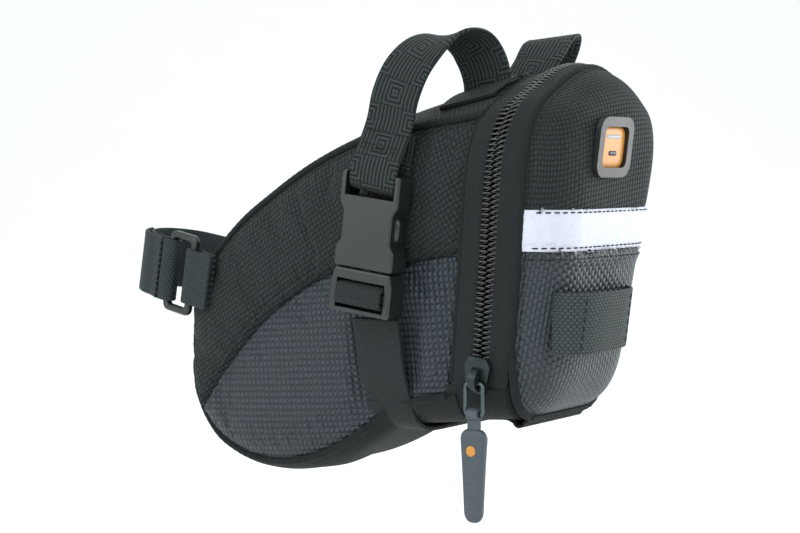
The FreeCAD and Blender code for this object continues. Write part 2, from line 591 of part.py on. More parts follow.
def make_slider():
    low, up = zip_direction()
    outwards = V(0, -1, 0) - up * V(0, -1, 0).dot(up)
    outwards.normalize()
    rearwards = outwards.cross(up)
    centre = low + up * ((SLIDER_Z - low.z) / up.z)
    frame = FreeCAD.Matrix(rearwards.x, outwards.x, up.x, centre.x,
                           rearwards.y, outwards.y, up.y, centre.y,
                           rearwards.z, outwards.z, up.z, centre.z, 0, 0, 0, 1)

    def placed(shape):
        return shape.transformGeometry(frame)

    half = SLIDER_LENGTH / 2
    outer_c = COIL_PROUD + SLIDER_CLEARANCE
    inner_c = -TAPE_THICKNESS - SLIDER_CLEARANCE
    outline = [V(-SLIDER_WIDTH / 2 + 1.6, 0, -half), V(SLIDER_WIDTH / 2 - 1.6, 0, -half),
               V(SLIDER_WIDTH / 2, 0, half - 3), V(SLIDER_WIDTH / 2 - 1.8, 0, half),
               V(-SLIDER_WIDTH / 2 + 1.8, 0, half), V(-SLIDER_WIDTH / 2, 0, half - 3)]
    plate = Part.Face(Part.makePolygon(outline + outline[:1])).extrude(V(0, PLATE, 0))
    plate = round_edges(plate, 1.4, V(0, 1, 0))
    top = plate.copy()
    top.translate(V(0, outer_c, 0))
    bottom = plate.copy()
    bottom.translate(V(0, inner_c - PLATE, 0))
    neck_half = ZIP_GAP - SLIDER_CLEARANCE
    neck = box(-neck_half, neck_half, inner_c - 0.5, outer_c + 0.5, half - 5.0, half - 0.6)
    keep("slider_body", placed(top.fuse(bottom).fuse(neck)))

    bail_base = outer_c + PLATE
    arch_middle = V(-BAIL_WIDTH / 2, bail_base - 0.9, -BAIL_DROP)
    arch = Part.makeCylinder(BAIL_RADIUS, BAIL_WIDTH, arch_middle, V(1, 0, 0))
    arch = arch.common(box(-5, 5, bail_base, bail_base + 20, -20, 20))
    window = Part.makeCylinder(BAIL_WINDOW_RADIUS, BAIL_WIDTH + 2, arch_middle - V(1, 0, 0), V(1, 0, 0))
    keep("slider_bail", placed(arch.cut(window)))

    pivot = centre - up * (BAIL_DROP + 1.2) + outwards * (bail_base + 1.0)
    make_pull(pivot)
    print("zip direction", [round(v, 5) for v in up], "pull pivot", [round(v, 3) for v in pivot])


def make_pull(pivot):
    """The wire loop and the grip, hanging straight down from the pivot."""
    half = WIRE_HALF_WIDTH
    drop = WIRE_DROP
    bend = WIRE_BEND
    k = bend * (1 - math.sqrt(0.5))
    corners = [(-half, 0), (half, 0), (half, -drop), (-half, -drop)]
    turns = [(1, 1), (-1, 1), (-1, -1), (1, -1)]
    edges = []
    ends = []
    for (x, z), (dx, dz) in zip(corners, turns):
        horizontal = V(x + dx * bend, 0, z)
        vertical = V(x, 0, z - dz * bend)
        middle = V(x + dx * k, 0, z - dz * k)
        edges.append(arc(horizontal, middle, vertical))
        ends.append((horizontal, vertical))
    edges.append(line(ends[0][0], ends[1][0]))
    edges.append(line(ends[1][1], ends[2][1]))
    edges.append(line(ends[2][0], ends[3][0]))
    edges.append(line(ends[3][1], ends[0][1]))
    path = Part.Wire(Part.__sortEdges__(edges))
    start = path.Edges[0]
    heading = start.tangentAt(start.FirstParameter)
    circle = Part.makeCircle(WIRE_RADIUS, start.Vertexes[0].Point, heading)
    wire = path.makePipeShell([Part.Wire(circle)], True, False, 1)
    wire.translate(pivot)
    keep("pull_wire", wire)

    # Grip: a tapered rubber tab moulded on a flat neck with an eye for the wire
    hinge = pivot + V(0, 0, -drop)
    tab_half = TAB_WIDTH / 2
    eye = Part.makeCylinder(2.3, TAB_WIDTH, V(-tab_half, 0, 0), V(1, 0, 0))
    eye = eye.cut(Part.makeCylinder(WIRE_RADIUS + 0.3, 6.0, V(-3, 0, 0), V(1, 0, 0)))
    neck = box(-tab_half, tab_half, -1.0, 1.0, -6.0, -1.8)
    top_half = GRIP_TOP_WIDTH / 2
    low_half = GRIP_BOTTOM_WIDTH / 2
    shoulder_z = GRIP_SHOULDER_Z
    end_z = shoulder_z - GRIP_LENGTH
    outline = [V(-top_half + 1.5, 0, shoulder_z), V(top_half - 1.5, 0, shoulder_z),
               V(top_half, 0, shoulder_z - 3.0), V(low_half, 0, end_z + 2.4),
               V(low_half - 2.0, 0, end_z), V(-low_half + 2.0, 0, end_z),
               V(-low_half, 0, end_z + 2.4), V(-top_half, 0, shoulder_z - 3.0)]
    grip = Part.Face(Part.makePolygon(outline + outline[:1])).extrude(V(0, GRIP_THICKNESS, 0))
    grip.translate(V(0, -GRIP_THICKNESS / 2, 0))
    grip = round_edges(grip, 1.3, V(0, 1, 0))
    grip = grip.makeFillet(1.2, [e for e in grip.Edges if abs(e.BoundBox.YLength) < 0.01])
    tab = eye.fuse(neck)
    keep("pull_tab", moved(tab.cut(grip), hinge))
    emblem_middle = V(0, -GRIP_THICKNESS / 2 + 0.4, shoulder_z - 7.5)
    emblem = Part.makeCylinder(EMBLEM_RADIUS, EMBLEM_DEPTH, emblem_middle, V(0, -1, 0))
    keep("pull_emblem", moved(emblem, hinge))
    keep("pull_grip", moved(grip.cut(emblem), hinge))


def moved(shape, offset):
    shape = shape.copy()
    shape.translate(offset)
    return shape


def make_binding():
    """The rolled cloth binding along the lid's fabric hinge."""
    left_end = V(HINGE_X, -BINDING_HALF_WIDTH, HINGE_Z)
    binding = Part.makeCylinder(BINDING_RADIUS, 2 * BINDING_HALF_WIDTH, left_end, V(0, 1, 0))
    keep("hinge_binding", binding)
    keep("bottom_gusset", SHAPES["bottom_gusset"].cut(binding))


def main():
    outer, shell = make_shell()
    make_lid(outer, shell)
    make_binding()
    make_rail_straps(outer)
    make_under_straps(outer)
    make_buckles()
    make_slack()
    make_post_strap()
    make_slider()
    os.makedirs("parts", exist_ok=True)
    for name, shape in SHAPES.items():
        shape.exportStep("parts/%s.step" % name)
        print(name, len(shape.Solids), round(shape.Volume, 1), shape.isValid())


main()
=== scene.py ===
import math

import bmesh
import bpy
import numpy as np
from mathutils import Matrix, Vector
from mathutils.bvhtree import BVHTree


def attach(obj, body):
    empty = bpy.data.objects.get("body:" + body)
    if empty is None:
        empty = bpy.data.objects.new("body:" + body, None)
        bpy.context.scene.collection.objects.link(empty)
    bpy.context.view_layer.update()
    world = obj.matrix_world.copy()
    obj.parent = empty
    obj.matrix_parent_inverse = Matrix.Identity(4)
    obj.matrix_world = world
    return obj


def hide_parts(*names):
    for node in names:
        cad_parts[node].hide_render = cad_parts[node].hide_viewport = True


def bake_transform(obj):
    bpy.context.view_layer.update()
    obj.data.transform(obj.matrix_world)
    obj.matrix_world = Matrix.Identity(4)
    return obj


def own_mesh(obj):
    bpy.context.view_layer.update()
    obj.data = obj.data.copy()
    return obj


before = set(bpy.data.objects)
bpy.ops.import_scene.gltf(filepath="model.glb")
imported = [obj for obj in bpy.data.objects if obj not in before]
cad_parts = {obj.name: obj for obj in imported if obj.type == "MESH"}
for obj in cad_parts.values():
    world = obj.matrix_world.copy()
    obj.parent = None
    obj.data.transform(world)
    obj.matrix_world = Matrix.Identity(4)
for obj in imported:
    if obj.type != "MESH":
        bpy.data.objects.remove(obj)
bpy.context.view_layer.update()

# Saddle bag. Working units are millimetres in the CAD frame; meshes are made in metres.
MM = 0.001
SCENE = bpy.context.scene.collection

# ---------------------------------------------------------------- driving dimensions

POST_LEAN = math.radians(9.5)
POST_RADIUS = 13.6
TAIL_RADIUS = 16.9
POST_WEBBING_WIDTH = 25.0
POST_WEBBING = 1.6
TAB_WIDTH = 22.0
BUCKLE_LEAN = math.radians(7.0)
BUCKLE_PLACE = (126.3, 13.0)
PLUG_TRAVEL = 21.5
LID_LEAN = 0.13
LID_FACE_X = 199.2
WEBBING_WIDTH = 20.0
WEBBING = 1.5
COIL_PITCH = 1.85
ZIP_END_Z = -36.5
STITCH_PITCH = 3.1

# The bag's cross-sections: x at z = 0, lean, bottom, top, half-width low and high, bottom corner,
# top corner across and up, crown.
STATIONS = np.array([
    (14.0, 0.00, -41.0, -21.0, 9.0, 9.0, 7.0, 7.0, 7.0, 0.8),
    (17.0, 0.00, -49.0, -12.5, 14.0, 13.5, 9.0, 9.0, 9.0, 1.2),
    (22.0, 0.00, -57.5, -2.5, 17.0, 16.5, 10.0, 10.0, 10.0, 1.6),
    (30.0, 0.00, -66.0, 7.5, 19.5, 19.0, 10.0, 10.0, 10.0, 2.0),
    (45.0, 0.00, -74.0, 21.5, 22.0, 21.5, 11.0, 10.0, 10.0, 2.5),
    (65.0, 0.00, -76.5, 34.5, 25.0, 24.5, 12.0, 10.0, 11.0, 3.0),
    (90.0, 0.00, -72.0, 47.5, 27.5, 28.5, 12.0, 10.0, 12.0, 3.5),
    (112.0, 0.02, -63.0, 56.5, 28.5, 31.5, 12.0, 10.0, 13.0, 4.5),
    (127.0, 0.04, -54.5, 61.5, 28.5, 33.5, 12.0, 10.5, 15.0, 6.0),
    (145.0, 0.08, -51.5, 67.0, 31.0, 36.5, 13.0, 11.5, 18.0, 8.0),
    (163.0, 0.12, -50.0, 72.5, 32.4, 39.0, 13.0, 12.5, 22.0, 10.0),
    (176.0, 0.13, -49.0, 76.5, 32.2, 39.7, 13.0, 12.7, 23.0, 10.6),
    (185.0, 0.13, -48.0, 75.8, 31.7, 39.4, 13.0, 12.7, 23.0, 10.2),
    (190.5, 0.13, -46.0, 73.4, 30.0, 37.6, 13.0, 12.5, 22.0, 9.6),
    (195.5, 0.13, -41.5, 69.2, 26.0, 33.0, 12.0, 11.0, 19.0, 7.8),
    (198.6, 0.13, -33.0, 61.6, 19.0, 24.5, 10.0, 9.0, 15.0, 5.0),
])

# Lines in side view (x, z)
ZIP_LINE = [(159.2, -95.0), (167.4, -33.0), (171.9, 2.0), (177.4, 43.0), (180.2, 59.0), (183.2, 69.0),
            (187.2, 78.0), (190.8, 86.0)]
LID_SEAM = [(171.2, -95.0), (179.2, -30.0), (184.2, 5.0), (188.9, 43.0), (191.2, 64.0), (193.2, 77.0),
            (194.6, 86.0)]
SIDE_SEAM = [(0.0, -92.0), (28.2, -53.6), (46.2, -33.4), (63.2, -18.5), (79.6, -8.0), (95.3, -0.5),
             (132.4, 5.4), (172.0, 12.6), (210.0, 19.0)]


# ---------------------------------------------------------------- curves and surfaces

def eased(points, times):
    """The points with each inner one drawn towards its neighbours, a number of times."""
    points = points.copy()
    for _ in range(times):
        points[1:-1] = (points[:-2] + points[2:] + 2 * points[1:-1]) / 4
    return points


def catmull(xs, ys, x):
    """Smooth interpolation of the columns ys, given at xs, at the places x."""
    xs = np.asarray(xs, float)
    ys = np.asarray(ys, float)
    slopes = np.gradient(ys, xs, axis=0)
    x = np.clip(np.asarray(x, float), xs[0], xs[-1])
    i = np.clip(np.searchsorted(xs, x) - 1, 0, len(xs) - 2)
    h = xs[i + 1] - xs[i]
    t = (x - xs[i]) / h
    if ys.ndim > 1:
        h, t = h[..., None], t[..., None]
    return ((2 * t**3 - 3 * t**2 + 1) * ys[i] + (t**3 - 2 * t**2 + t) * h * slopes[i]
            + (3 * t**2 - 2 * t**3) * ys[i + 1] + (t**3 - t**2) * h * slopes[i + 1])


def chord(points):
    """Distance along a chain of points, from 0 to its whole length."""
    points = np.asarray(points, float)
    steps = np.linalg.norm(np.diff(points, axis=0), axis=1)
    return np.concatenate([[0.0], np.cumsum(steps)])


def smooth_path(points, count):
    """A smooth curve through the points, as count points evenly spaced along it."""
    points = np.asarray(points, float)
    dense = catmull(chord(points), points, np.linspace(0, chord(points)[-1], 24 * len(points)))
    along = chord(dense)
    wanted = np.linspace(0, along[-1], count)
    return np.stack([np.interp(wanted, along, dense[:, k]) for k in range(points.shape[1])], 1)


def line_x(line, z):
    """x of a side-view line at height z."""
    line = np.asarray(line)
    return catmull(line[:, 1], line[:, 0], z)


def half_width(x, z):
    """Half-width of the bag at (x, z) in side view."""
    x = np.asarray(x, float)
    z = np.asarray(z, float)
    base = x.copy()
    for _ in range(3):
        base = x - catmull(STATIONS[:, 0], STATIONS[:, 1], base) * z
    low, high, half_low, half_high, r_low, r_across, r_up, crown = np.moveaxis(
        catmull(STATIONS[:, 0], STATIONS[:, 2:], base), -1, 0)
    shoulder = high - crown
    share = np.clip((z - low - r_low) / np.maximum(shoulder - r_up - low - r_low, 1.0), 0, 1)
    side = half_low + (half_high - half_low) * share
    drop = np.clip((low + r_low - z) / r_low, 0, 1)
    below = half_low - r_low * (1 - np.sqrt(1 - drop**2))
    rise = np.clip((z - (shoulder - r_up)) / r_up, 0, 1)
    above = half_high - r_across * (1 - np.sqrt(np.clip(1 - rise**2, 0, 1)))
    return np.where(z < low + r_low, below, np.where(z > shoulder - r_up, above, side))


def normals_of(grid):
    """Unit normals of a grid of points (rows, columns, 3)."""
    du = np.gradient(grid, axis=0)
    dv = np.gradient(grid, axis=1)
    n = np.cross(du, dv)
    return n / np.maximum(np.linalg.norm(n, axis=-1, keepdims=True), 1e-9)


def ramp(x, start, stop):
    """0 before start, 1 after stop, smooth between."""
    t = np.clip((x - start) / (stop - start), 0, 1)
    return t * t * (3 - 2 * t)


# ---------------------------------------------------------------- mesh builders

def make_mesh(name, points, faces, uvs=None, smooth=True):
    """A mesh piece from points in millimetres; uvs are one (u, v) per point, in millimetres."""
    mesh = bpy.data.meshes.new(name)
    mesh.from_pydata([tuple(p) for p in np.asarray(points) * MM], [], faces)
    mesh.validate()
    mesh.polygons.foreach_set("use_smooth", [smooth] * len(mesh.polygons))
    if uvs is not None:
        layer = mesh.uv_layers.new(name="cloth")
        loops = np.zeros(len(mesh.loops), np.int32)
        mesh.loops.foreach_get("vertex_index", loops)
        layer.data.foreach_set("uv", (np.asarray(uvs)[loops] * MM).astype(np.float32).ravel())
    piece = bpy.data.objects.new(name, mesh)
    SCENE.objects.link(piece)
    return piece


def grid_faces(rows, columns, start=0, close_rows=False, close_columns=False):
    """Quads of a grid of points, optionally joined end to end either way."""
    faces = []
    for i in range(rows if close_rows else rows - 1):
        for j in range(columns if close_columns else columns - 1):
            a = start + i * columns + j
            b = start + i * columns + (j + 1) % columns
            c = start + (i + 1) % rows * columns + (j + 1) % columns
            d = start + (i + 1) % rows * columns + j
            faces.append((a, b, c, d))
    return faces


def cloth_sheet(name, grid, uv, thickness=1.0, inside=True):
    """Even cloth from a grid of its outer face; inside says that the grid's normals point outwards."""
    rows, columns = grid.shape[:2]
    piece = make_mesh(name, grid.reshape(-1, 3), grid_faces(rows, columns), uv.reshape(-1, 2))
    if not inside:
        piece.data.flip_normals()
    solid = piece.modifiers.new("thickness", "SOLIDIFY")
    solid.thickness = thickness * MM
    solid.offset = -1
    return piece


def apply_modifiers(piece):
    """Replace a piece's mesh by what its modifiers make of it."""
    graph = bpy.context.evaluated_depsgraph_get()
    mesh = bpy.data.meshes.new_from_object(piece.evaluated_get(graph), depsgraph=graph)
    piece.modifiers.clear()
    piece.data = mesh
    return piece


def join(name, pieces):
    """One piece from several."""
    for piece in pieces:
        if piece.modifiers:
            apply_modifiers(piece)
    work = bmesh.new()
    for piece in pieces:
        work.from_mesh(piece.data)
    mesh = bpy.data.meshes.new(name)
    work.to_mesh(mesh)
    work.free()
    material = pieces[0].data.materials[0] if pieces[0].data.materials else None
    for piece in pieces:
        bpy.data.objects.remove(piece)
    joined = bpy.data.objects.new(name, mesh)
    if material:
        mesh.materials.append(material)
    SCENE.objects.link(joined)
    return joined


def unit(v):
    v = np.asarray(v, float)
    return v / np.maximum(np.linalg.norm(v, axis=-1, keepdims=True), 1e-9)


def tube(name, path, radius, sides=10, closed=False, cap=True):
    """A round tube along a path; radius may be one number or one per point."""
    path = np.asarray(path, float)
    count = len(path)
    radius = np.broadcast_to(np.asarray(radius, float), (count,))
    tangent = unit(np.roll(path, -1, 0) - np.roll(path, 1, 0)) if closed else unit(np.gradient(path, axis=0))
    normal = np.cross(tangent[0], (0.0, 0.0, 1.0) if abs(tangent[0][2]) < 0.9 else (1.0, 0.0, 0.0))
    rings = []
    for i in range(count):
        normal = unit(normal - tangent[i] * np.dot(normal, tangent[i]))
        across = np.cross(tangent[i], normal)
        angle = np.linspace(0, 2 * math.pi, sides, endpoint=False)
        rings.append(path[i] + radius[i] * (np.outer(np.cos(angle), normal) + np.outer(np.sin(angle), across)))
    points = np.concatenate(rings)
    faces = grid_faces(count, sides, close_rows=closed, close_columns=True)
    if cap and not closed:
        faces.append(tuple(range(sides))[::-1])
        faces.append(tuple(range((count - 1) * sides, count * sides)))
    along = np.repeat(chord(path), sides)
    around = np.tile(np.linspace(0, 2 * math.pi * radius.mean(), sides), count)
    return make_mesh(name, points, faces, np.stack([around, along], 1))


# Outline of a webbing's section: (across, through), each from -1 to 1
WEB_SECTION = [(-1, -0.45), (-0.985, -0.85), (-0.95, -1), (-0.5, -1), (0, -1), (0.5, -1), (0.95, -1),
               (0.985, -0.85), (1, -0.45), (1, 0.45), (0.985, 0.85), (0.95, 1), (0.5, 1), (0, 1), (-0.5, 1),
               (-0.95, 1), (-0.985, 0.85), (-1, 0.45)]


def webbing(name, path, across, width=WEBBING_WIDTH, thickness=WEBBING, v_start=0.0):
    """Flat webbing along a path; across is its width direction, one or one per point."""
    path = np.asarray(path, float)
    tangent = unit(np.gradient(path, axis=0))
    across = np.broadcast_to(np.asarray(across, float), path.shape)
    across = unit(across - tangent * np.sum(across * tangent, axis=1, keepdims=True))
    normal = np.cross(tangent, across)
    section = np.array(WEB_SECTION)
    points = (path[:, None] + across[:, None] * section[None, :, :1] * width / 2
              + normal[:, None] * section[None, :, 1:] * thickness / 2)
    sides = len(section)
    faces = grid_faces(len(path), sides, close_columns=True)
    faces.append(tuple(range(sides))[::-1])
    faces.append(tuple(range((len(path) - 1) * sides, len(path) * sides)))
    u = np.tile(section[:, 0] * width / 2, (len(path), 1))
    v = np.tile((chord(path) + v_start)[:, None], (1, sides))
    return make_mesh(name, points.reshape(-1, 3), faces, np.stack([u, v], -1).reshape(-1, 2))


def stitches(name, path, normal, length=2.2, radius=0.26, pitch=STITCH_PITCH, lift=0.05):
    """A row of thread stitches lying on a path; normal is the outward direction, one or one per point."""
    path = np.asarray(path, float)
    normal = np.broadcast_to(np.asarray(normal, float), path.shape)
    along = chord(path)
    count = max(1, int(along[-1] / pitch))
    points = []
    faces = []
    profile = [(-0.5, 0.15, -0.6), (-0.42, 0.8, -0.1), (-0.2, 1.0, 0.25), (0.2, 1.0, 0.25), (0.42, 0.8, -0.1),
               (0.5, 0.15, -0.6)]
    sides = 6
    for k in range(count):
        middle = (k + 0.5) * along[-1] / count
        at = np.array([np.interp(middle, along, path[:, c]) for c in range(3)])
        ahead = np.array([np.interp(min(middle + 0.5, along[-1]), along, path[:, c]) for c in range(3)])
        back = np.array([np.interp(max(middle - 0.5, 0), along, path[:, c]) for c in range(3)])
        up = unit([np.interp(middle, along, normal[:, c]) for c in range(3)])
        tangent = unit(ahead - back)
        across = np.cross(tangent, up)
        start = len(points) * sides
        for step, swell, height in profile:
            centre = at + tangent * step * length + up * (height * radius + lift)
            ring = []
            for s in range(sides):
                a = 2 * math.pi * s / sides
                ring.append(centre + radius * swell * (math.cos(a) * across + math.sin(a) * up))
            points.append(ring)
        faces += grid_faces(len(profile), sides, start, close_columns=True)
        faces.append(tuple(range(start, start + sides))[::-1])
        last = start + (len(profile) - 1) * sides
        faces.append(tuple(range(last, last + sides)))
    return make_mesh(name, np.array(points).reshape(-1, 3), faces)


# ---------------------------------------------------------------- materials

class Value:
    """A number inside a material's node tree, with ordinary arithmetic."""

    def __init__(self, tree, source):
        self.tree = tree
        self.source = source

    def run(self, operation, *others):
        node = self.tree.nodes.new("ShaderNodeMath")
        node.operation = operation
        for slot, value in zip(node.inputs, (self,) + others):
            if isinstance(value, Value):
                self.tree.links.new(value.source, slot)
            else:
                slot.default_value = value
        return Value(self.tree, node.outputs[0])

    def __add__(self, other):
        return self.run("ADD", other)

    def __sub__(self, other):
        return self.run("SUBTRACT", other)

    def __mul__(self, other):
        return self.run("MULTIPLY", other)

    def __truediv__(self, other):
        return self.run("DIVIDE", other)

    def __neg__(self):
        return self.run("MULTIPLY", -1.0)

    def __rsub__(self, other):
        return (-self).run("ADD", other)

    def fraction(self):
        return self.run("FRACT")

    def floor(self):
        return self.run("FLOOR")

    def sine(self):
        return self.run("SINE")

    def size(self):
        return self.run("ABSOLUTE")

    def power(self, other):
        return self.run("POWER", other)

    def above(self, other):
        return self.run("GREATER_THAN", other)

    def most(self, other):
        return self.run("MAXIMUM", other)

    def least(self, other):
        return self.run("MINIMUM", other)

    def even(self):
        return self.run("MODULO", 2.0).size()

    def hump(self):
        """One rounded hump for each whole step: 0 at the steps, 1 half-way between."""
        return (self.fraction() * math.pi).sine()


def choose(flag, low, high):
    """low where the flag is 0 and high where it is 1."""
    return low + flag * (high - low) if isinstance(low, Value) else (1.0 - flag) * low + flag * high


class Stuff:
    """One procedural material."""

    def __init__(self, name, colour, roughness=0.8, metallic=0.0, sheen=0.0, coat=0.0, shine=0.5):
        self.material = bpy.data.materials.new(name)
        self.material.use_nodes = True
        self.tree = self.material.node_tree
        self.shader = self.tree.nodes["Principled BSDF"]
        self.shader.inputs["Base Color"].default_value = (*colour, 1)
        self.shader.inputs["Roughness"].default_value = roughness
        self.shader.inputs["Metallic"].default_value = metallic
        self.shader.inputs["Sheen Weight"].default_value = sheen
        self.shader.inputs["Sheen Roughness"].default_value = 0.4
        self.shader.inputs["Coat Weight"].default_value = coat
        self.shader.inputs["Coat Roughness"].default_value = 0.3
        self.shader.inputs["Specular IOR Level"].default_value = shine
        self.material.diffuse_color = (*colour, 1)

    def cloth_uv(self):
        """The cloth's own coordinates in millimetres."""
        node = self.tree.nodes.new("ShaderNodeUVMap")
        node.uv_map = "cloth"
        return self.split(node.outputs[0])[:2]

    def place(self):
        """Position in the part, in millimetres."""
        return self.split(self.tree.nodes.new("ShaderNodeTexCoord").outputs["Object"])

    def split(self, source):
        node = self.tree.nodes.new("ShaderNodeSeparateXYZ")
        self.tree.links.new(source, node.inputs[0])
        return [Value(self.tree, out) * 1000.0 for out in node.outputs]

    def noise(self, scale, detail=3.0, roughness=0.6):
        """Soft noise, 0 to 1, in the part's own space."""
        node = self.tree.nodes.new("ShaderNodeTexNoise")
        self.tree.links.new(self.tree.nodes.new("ShaderNodeTexCoord").outputs["Object"], node.inputs["Vector"])
        node.inputs["Scale"].default_value = scale
        node.inputs["Detail"].default_value = detail
        node.inputs["Roughness"].default_value = roughness
        return Value(self.tree, node.outputs[0])

    def colour(self, amount, low, high):
        """Base colour between two colours."""
        node = self.tree.nodes.new("ShaderNodeMix")
        node.data_type = "RGBA"
        self.tree.links.new(amount.source, node.inputs[0])
        node.inputs[6].default_value = (*low, 1)
        node.inputs[7].default_value = (*high, 1)
        self.tree.links.new(node.outputs[2], self.shader.inputs["Base Color"])
        return self

    def roughness(self, amount, low, high):
        value = amount * (high - low) + low
        self.tree.links.new(value.source, self.shader.inputs["Roughness"])
        return self

    def relief(self, height, depth, strength=1.0):
        """Bump from a height of 0 to 1, depth in millimetres."""
        node = self.tree.nodes.new("ShaderNodeBump")
        node.inputs["Strength"].default_value = strength
        node.inputs["Distance"].default_value = depth * MM
        self.tree.links.new(height.source, node.inputs["Height"])
        self.tree.links.new(node.outputs[0], self.shader.inputs["Normal"])
        return self


def basket(u, v, pitch):
    """Plain weave of round yarns; returns height and which yarn is on top."""
    a = u / pitch
    b = v / pitch
    warp = (a.floor() + b.floor()).even()
    across_u = a.hump()
    across_v = b.hump()
    warp_height = across_u.power(0.6) * (across_v * 0.55 + 0.45)
    weft_height = across_v.power(0.6) * (across_u * 0.55 + 0.45)
    return choose(warp, weft_height, warp_height), warp


def woven(name, dark, light, pitch, depth=0.35, turn=0.0, sheen=0.03, rough=(0.62, 0.9)):
    stuff = Stuff(name, light, sheen=sheen, shine=0.2)
    u, v = stuff.cloth_uv()
    c, s = math.cos(turn), math.sin(turn)
    u, v = u * c + v * s, v * c - u * s
    height, warp = basket(u, v, pitch)
    fibre = stuff.noise(2600.0, 2.0)
    cloudy = stuff.noise(60.0, 2.0)
    # Colour follows the weave's height: yarn tops are painted lighter as a painted highlight and the gaps
    # between yarns darker as painted shade; warp, fibre and cloudy are the yarn's own tone.
    tone_with_painted_shade = (height * 0.75 + warp * 0.14 + fibre * 0.22 - 0.12) * (cloudy * 0.5 + 0.75)
    stuff.colour(tone_with_painted_shade, dark, light)
    stuff.roughness(height, rough[1], rough[0])
    return stuff.relief(height + fibre * 0.25, depth).material


def coated(name, dark, light, pitch, tall=1.0, brick=False, depth=0.3, turn=0.0):
    """Embossed coated fabric with raised pads in rows."""
    stuff = Stuff(name, light, coat=0.1, shine=0.4)
    u, v = stuff.cloth_uv()
    c, s = math.cos(turn), math.sin(turn)
    u, v = u * c + v * s, v * c - u * s
    a = u / pitch
    b = v / (pitch * tall)
    if brick:
        b = b + a.floor().even() * 0.5
    edge_u = 1.0 - (a.fraction() * 2.0 - 1.0).size().power(2.2)
    edge_v = 1.0 - (b.fraction() * 2.0 - 1.0).size().power(2.2)
    height = edge_u * edge_v
    grain = stuff.noise(1800.0, 3.0)
    cloudy = stuff.noise(45.0, 2.0)
    # Pads are painted lighter than the ground between them: painted highlight on the pad tops and painted shade
    # in the ground; grain and cloudy are the coating's own tone.
    stuff.colour((height * 0.85 + grain * 0.15) * (cloudy * 0.4 + 0.8), dark, light)
    stuff.roughness(height * 0.6 + grain * 0.4, 0.62, 0.32)
    return stuff.relief(height + grain * 0.06, depth).material


def ribbed(name, dark, light, pitch=1.5, rib=0.9, depth=0.3):
    """Flat webbing: fine ribs along its length, crossed by its weft."""
    stuff = Stuff(name, light, sheen=0.03, shine=0.2)
    u, v = stuff.cloth_uv()
    row = v / pitch
    column = u / rib
    shift = column.floor().even() * 0.5
    height = (row + shift).hump().power(0.5) * (column.hump() * 0.5 + 0.5)
    fibre = stuff.noise(2400.0, 2.0)
    # Colour follows the rib height: rib crowns are painted lighter and the gaps between them darker as painted
    # shade; fibre is the yarn's own tone.
    stuff.colour(height * 0.8 + fibre * 0.3 - 0.08, dark, light)
    stuff.roughness(height, 0.85, 0.6)
    return stuff.relief(height + fibre * 0.2, depth).material


def herringbone(name, dark, light, pitch=1.25, leg=3.4, depth=0.22):
    """Narrow tape woven in chevrons."""
    stuff = Stuff(name, light, sheen=0.03, shine=0.2)
    u, v = stuff.cloth_uv()
    zigzag = ((u / (2.0 * leg)).fraction() - 0.5).size() * (2.0 * leg)
    height = ((v + zigzag) / pitch).hump().power(0.7)
    weft = (u / 0.55).hump() * 0.35 + 0.65
    fibre = stuff.noise(2400.0, 2.0)
    # Colour follows the chevron ridges and weft picks: the crowns are painted lighter and the grooves darker as
    # painted shade; fibre is the yarn's own tone.
    stuff.colour(height * weft * 0.85 + fibre * 0.25 - 0.08, dark, light)
    stuff.roughness(height, 0.9, 0.68)
    return stuff.relief(height * weft + fibre * 0.2, depth).material


def maze_web(name, dark, light, cell=9.6, depth=0.32):
    """Patterned webbing: nested squares broken by straight runs, raised from a fine rib."""
    stuff = Stuff(name, light, sheen=0.03, shine=0.2)
    u, v = stuff.cloth_uv()
    a = u / cell + 0.5
    b = v / cell
    turn = (a.floor() + b.floor()).even()
    x = a.fraction() - 0.5
    y = b.fraction() - 0.5
    square = x.size().most(y.size()) * 2.0
    bars = x.size() * 2.0
    rings = (choose(turn, square, bars) * 3.0).fraction()
    line = (rings - 0.5).size() * 2.0
    raised = (0.62 - line).run("MULTIPLY", 6.0).most(0.0).least(1.0)
    rib = (v / 0.75).hump() * 0.6 + 0.4
    weft = (u / 0.6).hump() * 0.4 + 0.6
    fibre = stuff.noise(2400.0, 2.0)
    height = raised * 0.65 + rib * weft * 0.35
    # Colour follows the relief: the raised pattern and the rib crowns are painted lighter, and the sunken
    # ground and rib gaps darker, a painted highlight and painted shade; fibre is the yarn's own tone.
    stuff.colour(raised * rib * 0.85 + fibre * 0.3 - 0.06, dark, light)
    stuff.roughness(raised, 0.88, 0.58)
    return stuff.relief(height + fibre * 0.12, depth).material


def twill(name, dark, light, pitch=1.1, depth=0.2):
    stuff = Stuff(name, light, sheen=0.03, shine=0.2)
    u, v = stuff.cloth_uv()
    height = ((u + v) / pitch).hump().power(0.7) * (((u - v) / 0.8).hump() * 0.3 + 0.7)
    fibre = stuff.noise(2400.0, 2.0)
    # Colour follows the twill's ridges: ridge tops are painted lighter and the grooves between them darker, a
    # painted highlight and painted shade; fibre is the yarn's own tone.
    stuff.colour(height * 0.8 + fibre * 0.25 - 0.05, dark, light)
    stuff.roughness(height, 0.9, 0.7)
    return stuff.relief(height + fibre * 0.2, depth).material


def moulded(name, dark, light, rough=(0.38, 0.55), depth=0.05, coat=0.0):
    """Injection-moulded plastic or rubber with a fine spark-eroded grain."""
    stuff = Stuff(name, light, coat=coat)
    grain = stuff.noise(2200.0, 4.0)
    cloudy = stuff.noise(90.0, 3.0)
    stuff.colour(grain * 0.5 + cloudy * 0.5, dark, light)
    stuff.roughness(cloudy * 0.6 + grain * 0.4, rough[0], rough[1])
    return stuff.relief(grain, depth).material


